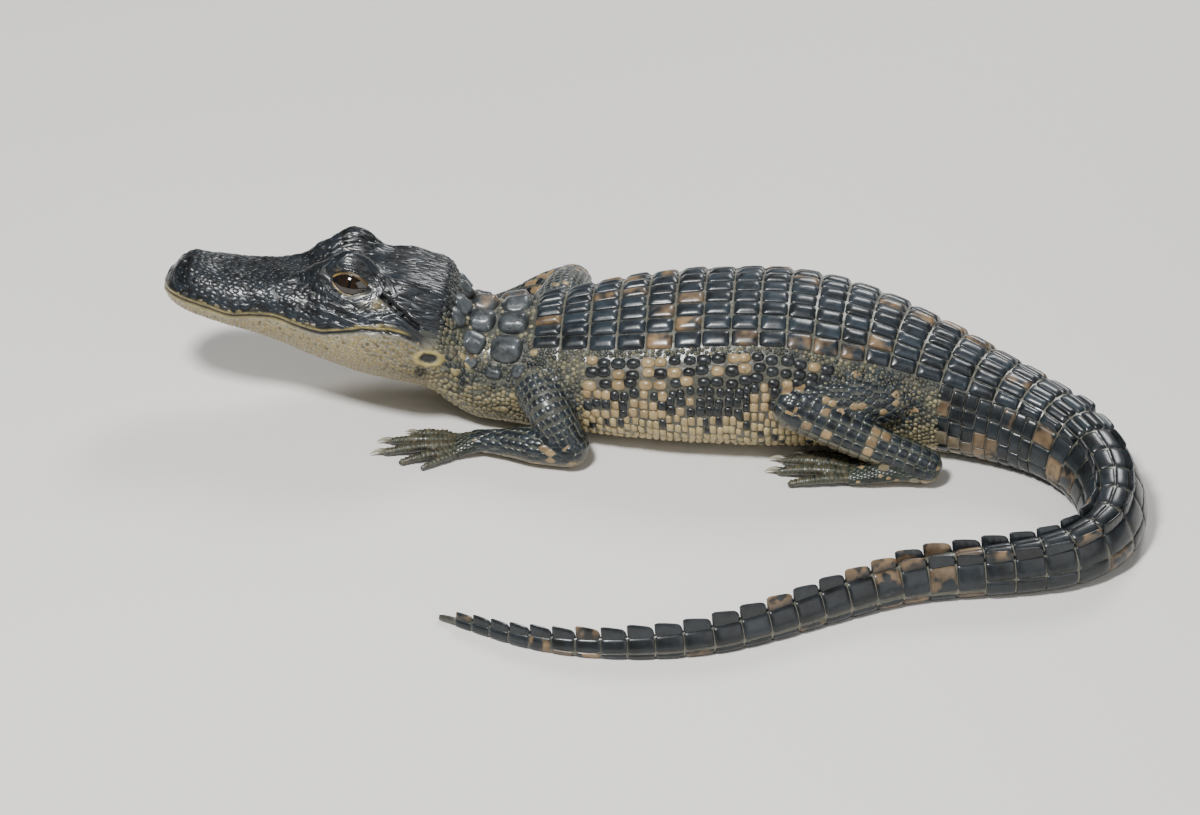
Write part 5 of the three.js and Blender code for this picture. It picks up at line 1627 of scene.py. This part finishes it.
# marks of the skin itself
def skinMarks():
    h = skinHead
    x, y = h[:, 0], np.abs(h[:, 1])
    gap = h[:, 2] - keyed(mouthKeys, np.clip(x, 4, headLength))
    front, jaw = smooth((x - 4) / 8), smooth((-gap - 0.2) / 1.4)
    lip = bump(gap - 1.4, 0.6) * smooth((x - 12) / 8) + 0.6 * bump(gap + 1.4, 1.0) * smooth((x - 60) / 20)
    share = flankShare(skinS, np.interp(np.abs(skinAngle), girthAngles, np.linspace(0, 1, 181)) * halfGirth(skinS))
    bare = smooth(share / 0.04) * smooth((ventS + 40 - skinS) / 40)
    pale = 0.1 + 0.42 * foldLine(skinS, 0.5) * (1 - 0.7 * bare) + 0.12 * bare + 0.4 * smooth((share - 0.3) / 0.3)
    pale = np.where(skinRegion == regions["trunk"], pale, 0.14)
    pale = skin.soften(pale * (1 - headShare), 2) + headShare * jaw * (1 - 0.5 * smooth((48 - x) / 40))
    tan = headShare * 0.8 * lip * smooth((y - 1) / 2 + smooth((x - 131) / 4))
    reach = ringReach(h)  # a pale ring about a dark middle at the corner of the left jaw, a grey scale below it
    ring, dark = bump(reach - 0.9, 0.24) * (reach < 1.4), smooth((0.6 - reach) / 0.1)
    under = smooth(greyDepth(h) / 0.8)
    off, over = segmentDistance(x, h[:, 2], *reliefSettings["ear"])
    # painted shade along the mouth line and in the ear slits
    cleft = bump(gap, 0.42) * smooth((x - 7) / 5) + bump(off, 0.6) * bump(over, 1.8) * (y > 23)
    skull = headShare * (1 - jaw) * front + headShare * (1 - front) * smooth((gap + 2) / 6)
    palePatch = headShare * np.clip(1.2 * creamPatch(h), 0, 1)
    corner = 0.6 * headShare * cheekCorner(h)
    skull, pale = skull * (1 - palePatch) * (1 - corner), np.maximum(pale, np.maximum(palePatch, corner))
    return {
        "rim": 0 * pale,
        "tan": np.clip(np.maximum(tan, ring) * (1 - dark), 0, 1),
        "pale": np.clip(np.maximum(pale, ring) * (1 - np.maximum(dark, under)), 0, 1),
        "tone": 0.6 * softNoise(skin.points, 9, 96),
        "skull": np.clip(np.maximum(skull * (1 - ring), 0.7 * under), 0, 1),
        "cleft": np.clip(np.maximum(cleft * headShare, dark), 0, 1),
    }


def skinUv():
    uv = trunkUv(skinS, skinAngle)
    onHead = skinRegion == regions["head"]
    uv[onHead] = headUv(skinHead[onHead, 0], headPlaceOf(skinHead[onHead]))
    group = np.where(onHead, 1, 0)
    for index, tube in enumerate(tubes):
        at = np.where((skinTube == index) & (skinRegion >= regions["root"]))[0]
        if len(at) == 0:
            continue
        path = tube.path[::4]
        share = ((skin.points[at, None] - path) ** 2).sum(-1).argmin(1) / (len(path) - 1)
        centre, _, side, up = tube.frameAt(share)
        d = skin.points[at] - centre
        uv[at] = tubeUv(index, share, np.arctan2((d * up).sum(1), (d * side).sum(1)))
        group[at] = 2 + index
    return uv, group


def loopUv(faces, uv, group):  # corners of a face that lies across a border take the face's first corner's side
    corner = uv[faces]
    first = group[faces][:, :1]
    other = group[faces] != first
    corner = np.where(other[..., None], corner[:, :1], corner)
    span = corner[..., 1] - corner[:, :1, 1]
    wrap = np.where(first == 0, 0.46, np.where(first == 1, 0.42, 0.13))
    corner[..., 1] -= np.where(np.abs(span) > wrap / 2, np.sign(span) * wrap, 0)
    return corner


# pieces
def addPiece(name, points, faces, uv, marks, material, perLoop=False):
    mesh = meshOf(name, np.asarray(points) * metres, faces)
    layer = mesh.uv_layers.new(name="OFBake")
    faces = np.asarray(faces)
    corners = uv if perLoop else np.asarray(uv)[faces.ravel()]
    layer.data.foreach_set("uv", np.asarray(corners, np.float32).ravel())
    for key, values in marks.items():
        attribute = mesh.attributes.new(key, "FLOAT", "POINT")
        attribute.data.foreach_set("value", np.asarray(values, np.float32).ravel())
    mesh.materials.append(material)
    piece = bpy.data.objects.new(name, mesh)
    bpy.context.scene.collection.objects.link(piece)
    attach(piece, "root")
    return piece


# materials
def hexColour(text):  # sRGB hex to the linear values that Blender keeps
    values = [int(text[i : i + 2], 16) / 255 for i in (1, 3, 5)]
    return tuple(v / 12.92 if v <= 0.04045 else ((v + 0.055) / 1.055) ** 2.4 for v in values) + (1.0,)


def perMetre(mm):  # texture scale for a pattern whose lumps are this many mm wide
    return 1.0 / (mm * metres)


def connect(tree, node, inputs):  # links the sockets among the inputs and sets the plain values
    for key, value in inputs.items():
        if isinstance(value, bpy.types.NodeSocket):
            tree.links.new(value, node.inputs[key])
        else:
            node.inputs[key].default_value = hexColour(value) if isinstance(value, str) else value


def addNode(tree, kind, inputs=None, output=0, **settings):  # a node with its settings and links, gives one output
    node = tree.nodes.new(kind)
    for key, value in settings.items():
        setattr(node, key, value)
    connect(tree, node, inputs or {})
    return node.outputs[output]


def newMaterial(name):
    material = bpy.data.materials.new(name)
    material.use_nodes = True
    tree = material.node_tree
    return material, tree, tree.nodes["Principled BSDF"]


mixing = {"output": 2, "data_type": "RGBA"}
eased = {"interpolation_type": "SMOOTHSTEP"}


def wetHide(name, look):
    # reptile hide of keratin over skin, grown not made and wet from the swamp:
    # near-black plates with a film of water on them, dull pale skin in the clefts, painted shade in the mouth line and
    # ear slits
    material, tree, shader = newMaterial(name)
    node = partial(addNode, tree)
    place = node("ShaderNodeTexCoord", output="Object")
    field = {}
    for key, mm, detail in (
        ("cloud", look["cloudMm"], 3.0),
        ("grain", look["grainMm"], 4.0),
        ("patch", look["patchMm"], 2.0),
        ("speck", 0.5, 2.0),
    ):
        inputs = {"Vector": place, "Scale": perMetre(mm), "Detail": detail, "Roughness": 0.6}
        field[key] = node("ShaderNodeTexNoise", inputs, output="Fac")
    for key in ("tan", "pale", "tone", "rim", "skull", "cleft"):
        field[key] = node("ShaderNodeAttribute", output="Fac", attribute_name=key)
    toned = node("ShaderNodeMath", {0: field["tone"], 1: look["toneShare"]}, operation="MULTIPLY")
    for key, source, start, end, low, high in (
        ("cloudy", "cloud", 0.3, 0.7, 0.1, 0.9),
        ("grainy", "grain", 0.3, 0.7, 0, 1),
        ("shine", "grain", 0.52, 0.72, 0, 0.3),
        ("blotch", "patch", *look["patchCut"], 0, 1),
        ("edge", "rim", look["edgeFrom"], 0.97, 0, look["edgeShare"]),
        ("dirt", "speck", 0.55, 0.75, 0, look["dirtShare"]),
        ("rough", "grain", 0.3, 0.75, *look["rough"]),
    ):
        field[key] = node("ShaderNodeMapRange", {0: field[source], 1: start, 2: end, 3: low, 4: high}, **eased)
    for key, a, b, way in (
        ("shade", toned, field["cloudy"], "ADD"),
        ("tanned", field["tan"], field["blotch"], "MULTIPLY"),
        # painted shade: the cleft mask darkens the mouth line and ear slits, and also carries the ring's own dark
        # middle
        ("paintedShade", field["cleft"], 0.85, "MULTIPLY"),
    ):
        field[key] = node("ShaderNodeMath", {0: a, 1: b}, operation=way, use_clamp=True)
    colours = {}
    for key, share, (low, high) in (
        ("pale", "grainy", look["pale"]),
        ("tan", "cloudy", look["tan"]),
        ("bone", "shade", look["skull"][:2]),
        ("plate", "shade", (look["dark"], look["light"])),
    ):
        colours[key] = node("ShaderNodeMix", {0: field[share], 6: low, 7: high}, **mixing)
    # painted highlight: shine mixes paler grey flecks, the third skull colour, into the bone colour
    bone = node("ShaderNodeMix", {0: field["shine"], 6: colours["bone"], 7: look["skull"][2]}, **mixing)
    colour = colours["plate"]
    for share, over in (
        ("pale", colours["pale"]),
        ("skull", bone),
        ("tanned", colours["tan"]),
        ("edge", look["edge"]),
        ("dirt", look["dirt"]),
        # near-black painted shade in the mouth line and ear slits
        ("paintedShade", "#0b0b0a"),
    ):
        colour = node("ShaderNodeMix", {0: field[share], 6: colour, 7: over}, **mixing)
    connect(tree, shader, {"Base Color": colour, "Roughness": field["rough"], "IOR": 1.52})
    connect(tree, shader, {"Coat Weight": look["film"], "Coat Roughness": 0.2, "Specular IOR Level": 0.32})
    stretched = node("ShaderNodeMapping", {"Vector": place, "Scale": look["wrinkleStretch"]})
    inputs = {"Vector": stretched, "Scale": perMetre(look["wrinkleMm"]), "Detail": 3.0, "Roughness": 0.6}
    wrinkles = node("ShaderNodeTexNoise", inputs, output="Fac")
    centred = node("ShaderNodeMath", {0: wrinkles, 1: 0.5}, operation="SUBTRACT")
    creases = node("ShaderNodeMath", {0: centred}, operation="ABSOLUTE")
    pores = node("ShaderNodeMath", {0: field["grain"], 1: 0.5}, operation="MULTIPLY")
    height = node("ShaderNodeMath", {0: creases, 1: look["wrinkleShare"], 2: pores}, operation="MULTIPLY_ADD")
    inputs = {"Height": height, "Distance": look["bumpMm"] * metres, "Strength": look["bumpStrength"]}
    connect(tree, shader, {"Normal": node("ShaderNodeBump", inputs)})
    return material


skinLook = {
    "dark": "#1f2223", "light": "#363a37", "pale": ("#6f6d5e", "#9d967f"),
    "tan": ("#86773f", "#c2af6c"), "skull": ("#08090a", "#161a1c", "#30363a"),
    "edge": "#8c8c80", "edgeShare": 0.0, "edgeFrom": 0.8, "dirt": "#3a3428", "dirtShare": 0.2, "toneShare": 0.3,
    "cloudMm": 9.0, "grainMm": 1.6, "patchMm": 4.0, "patchCut": (0.2, 0.4), "rough": (0.3, 0.5), "film": 0.45,
    "wrinkleMm": 2.0, "wrinkleStretch": (0.45, 1.0, 1.0), "wrinkleShare": 1.6, "bumpMm": 0.5, "bumpStrength": 0.7,
}
headLook = dict(
    skinLook, skull=("#06080a", "#1f272e", "#2b343b"), pale=("#93855a", "#c9b885"), tan=("#6f6338", "#98885a"),
    wrinkleMm=1.5, grainMm=2.0, wrinkleShare=0.9, bumpMm=0.08, bumpStrength=0.5, film=0.3, rough=(0.36, 0.5),
    dirtShare=0.08,
)
scuteLook = dict(
    skinLook, dark="#0c1013", light="#28323a", pale=("#817a60", "#a89d7b"), tan=("#5f4b34", "#967b58"),
    edge="#1d201f", edgeShare=0.4, dirt="#4d4131", dirtShare=0.12, toneShare=0.28, cloudMm=7.0, grainMm=1.3,
    patchMm=12.0, patchCut=(0.4, 0.64), rough=(0.34, 0.5), film=0.42, wrinkleMm=2.8, wrinkleStretch=(1.0, 0.5, 0.5),
    wrinkleShare=1.0, bumpMm=0.14, bumpStrength=0.45,
)
shieldLook = dict(
    scuteLook, dark="#191c1d", light="#4a5053", bumpMm=0.7, wrinkleMm=1.7, wrinkleShare=1.6, film=0.5,
)
tailLook = dict(
    scuteLook, dark="#0a0d0f", light="#20272c", patchMm=11.0, patchCut=(0.42, 0.52), dirt="#2b231a", dirtShare=0.3,
)
knobLook = dict(
    scuteLook, dark="#0c0d0e", light="#23282b", pale=("#8f845d", "#bbac7c"), tan=("#86704b", "#bda376"), edge="#37382f",
    edgeShare=0.35, grainMm=0.9, wrinkleMm=1.6, film=0.42, patchMm=4.0, patchCut=(0.2, 0.34),
)
bellyLook = dict(knobLook, dark="#8e8265", light="#a89a78", pale=("#b3a37c", "#d2c49e"), film=0.2)
limbLook = dict(
    scuteLook, light="#222b32", tan=("#7c6345", "#a88d63"), edge="#666b5c", edgeShare=0.6, edgeFrom=0.76,
    grainMm=0.9, wrinkleMm=1.6, patchMm=4.0, patchCut=(0.2, 0.34), film=0.5,
)
footLook = dict(limbLook, dark="#10140f", light="#2a322b", film=0.3, edgeShare=0.4)
neckLook = dict(
    knobLook, dark="#14181a", light="#363d3c", pale=("#7d7759", "#b0a67f"), tan=("#766a4a", "#a7966a"),
    edge="#3d3f38", film=0.22, rough=(0.4, 0.56),
)
jawLook = dict(
    knobLook, dark="#24241f", light="#3c3b32", pale=("#776a4a", "#a29165"), tan=("#7c6a3a", "#99834c"), edge="#4a4636",
    edgeShare=0.4, film=0.35,
)
lidLook = dict(
    headLook, tan=("#73571f", "#b08a3c"), pale=("#8d8055", "#bfb180"), wrinkleMm=1.0, wrinkleStretch=(1, 1, 1),
    film=0.5,
)


def eyeSurface(name):
    # a living eye: dark brown iris with fine rays under a wet clear cornea, upright slit pupil
    material, tree, shader = newMaterial(name)
    node = partial(addNode, tree)
    reach, turn, slit = (
        node("ShaderNodeAttribute", output="Fac", attribute_name=key) for key in ("irisReach", "irisTurn", "slit")
    )
    turned = node("ShaderNodeMath", {0: turn, 1: 26.0}, operation="MULTIPLY")
    reached = node("ShaderNodeMath", {0: reach, 1: 2.2}, operation="MULTIPLY")
    place = node("ShaderNodeCombineXYZ", {0: turned, 1: reached})
    rays = node("ShaderNodeTexNoise", {"Vector": place, "Scale": 1.0, "Detail": 4.0}, output="Fac")
    lit = node("ShaderNodeMapRange", {0: rays, 1: 0.35, 2: 0.7}, **eased)
    inner = node("ShaderNodeMapRange", {0: reach, 1: 0.15, 2: 0.6, 3: 0.4, 4: 0.0}, **eased)
    outer = node("ShaderNodeMapRange", {0: reach, 1: 0.82, 2: 1.0}, **eased)
    colour = node("ShaderNodeMix", {0: lit, 6: "#0b0603", 7: "#24170b"}, **mixing)
    for share, over in ((inner, "#2e210f"), (outer, "#080604"), (slit, "#010101")):
        colour = node("ShaderNodeMix", {0: share, 6: colour, 7: over}, **mixing)
    rough = node("ShaderNodeMapRange", {0: rays, 1: 0.2, 2: 0.8, 3: 0.05, 4: 0.09})
    relief = node("ShaderNodeBump", {"Height": rays, "Distance": 0.05 * metres, "Strength": 0.3})
    connect(tree, shader, {"Base Color": colour, "Roughness": rough, "Normal": relief})
    connect(tree, shader, {"IOR": 1.38, "Coat Weight": 1.0, "Coat Roughness": 0.02})
    return material


def clawHorn(name):
    # horn, grown in layers and worn smooth: dark at the root, paler and slightly clear to the tip
    material, tree, shader = newMaterial(name)
    node = partial(addNode, tree)
    along = node("ShaderNodeAttribute", output="Fac", attribute_name="rim")
    place = node("ShaderNodeTexCoord", output="Object")
    grain = node("ShaderNodeTexNoise", {"Vector": place, "Scale": perMetre(0.9), "Detail": 4.0}, output="Fac")
    paler = node("ShaderNodeMapRange", {0: along, 1: -0.2, 2: 0.8}, **eased)
    stain = node("ShaderNodeMapRange", {0: grain, 1: 0.4, 2: 0.7, 4: 0.4}, **eased)
    colour = node("ShaderNodeMix", {0: paler, 6: "#2b2c28", 7: "#a59e8a"}, **mixing)
    colour = node("ShaderNodeMix", {0: stain, 6: colour, 7: "#5d5848"}, **mixing)
    rough = node("ShaderNodeMapRange", {0: grain, 1: 0.3, 2: 0.7, 3: 0.25, 4: 0.42})
    relief = node("ShaderNodeBump", {"Height": grain, "Distance": 0.1 * metres, "Strength": 0.5})
    connect(tree, shader, {"Base Color": colour, "Roughness": rough, "Normal": relief, "IOR": 1.54})
    return material


# pieces from the shapes above
flesh = ["head", "lower_jaw", "neck", "torso"] + [f"tail_{i}" for i in range(1, 6)]
for part in ("upper_arm", "forearm", "fore_foot", "thigh", "shank", "hind_foot"):
    flesh += [f"{part}_{side}" for side in ("left", "right")]

coatLooks = {  # material, its look and the slot of each joined coat
    "back_scutes": ("wetScutes", scuteLook, "hide"),
    "flank_knobs": ("wetKnobs", knobLook, "hide"),
    "flank_tiles": ("wetKnobs", knobLook, "hide"),
    "belly_tiles": ("bellyTiles", bellyLook, "pale_hide"),
    "tail_tiles": ("tailTiles", tailLook, "hide"),
    "tail_crests": ("tailCrests", dict(tailLook, edgeShare=0.15), "hide"),
    "neck_shields": ("neckShields", shieldLook, "hide"),
    "neck_granules": ("neckGranules", neckLook, "hide"),
    "fold_granules": ("neckGranules", neckLook, "hide"),
    "jaw_granules": ("jawGranules", jawLook, "pale_hide"),
    "head_pebbles": ("headPebbles", headLook, "head_hide"),
    "limb_scales": ("limbScales", limbLook, "hide"),
    "foot_scales": ("footScales", footLook, "foot_hide"),
    "eyelids": ("lidSkin", lidLook, "head_hide"),
}


def makePieces():
    uv, group = skinUv()
    corners = loopUv(skin.faces, uv, group)
    hide = wetHide("wetSkin", skinLook)
    body = addPiece("alligator_skin", skin.points, skin.faces, corners, skinMarks(), hide, perLoop=True)
    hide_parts(*flesh)
    made = {}
    for coat in coats:
        materialName, look, slotName = coatLooks[coat.name]
        if materialName not in made:
            made[materialName] = wetHide(materialName, look)
        addPiece(coat.name, *coat.joined(), made[materialName])
    eye = eyeSurface("wetEye")
    for side, name in ((1, "eye_left"), (-1, "eye_right")):
        piece = addPiece(f"{name}_ball", *eyeMesh(side), eye)
        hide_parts(name)
    addPiece("claws", *clawCoat().joined(), clawHorn("claws"))


makePieces()
print("pieces made")


# floor and light
stageSettings = {
    "half": 6.0,
    "paper": ("#d9d7d2", "#e2e0dc"),
    "world": ("#e6e9ee", 0.2),
    "lamps": (  # name, place in metres, size, watts
        ("keyLight", (-0.5, -0.7, 1.5), 0.28, 41),
        ("fillLight", (0.9, -1.1, 0.7), 1.2, 7),
        ("backLight", (0.5, 1.3, 1.25), 0.6, 22),
    ),
}


def makeStage(e):
    for spare in ("Cube", "Light", "Camera"):
        if spare in bpy.data.objects:
            bpy.data.objects.remove(bpy.data.objects[spare])
    half = e["half"]
    corners = [(-half, -half, 0), (half, -half, 0), (half, half, 0), (-half, half, 0)]
    floor = bpy.data.objects.new("floor", meshOf("floor", corners, [(0, 1, 2, 3)], False))
    material, tree, shader = newMaterial("floorPaper")  # matt seamless paper, faintly mottled
    place = addNode(tree, "ShaderNodeTexCoord", output="Object")
    cloud = addNode(tree, "ShaderNodeTexNoise", {"Vector": place, "Scale": 1.5}, output="Fac")
    colour = addNode(tree, "ShaderNodeMix", {0: cloud, 6: e["paper"][0], 7: e["paper"][1]}, **mixing)
    connect(tree, shader, {"Base Color": colour, "Roughness": 0.9})
    floor.data.materials.append(material)
    bpy.context.scene.collection.objects.link(floor)
    world = bpy.data.worlds.new("studio")
    world.use_nodes = True
    colour, strength = e["world"]
    connect(world.node_tree, world.node_tree.nodes["Background"], {"Color": colour, "Strength": strength})
    bpy.context.scene.world = world
    for name, at, size, energy in e["lamps"]:
        data = bpy.data.lights.new(name, "AREA")
        data.size, data.energy = size, energy
        light = bpy.data.objects.new(name, data)
        light.location = at
        light.rotation_euler = (Vector((-0.03, -0.03, 0)) - Vector(at)).to_track_quat("-Z", "Y").to_euler()
        bpy.context.scene.collection.objects.link(light)


makeStage(stageSettings)
print("stage set")
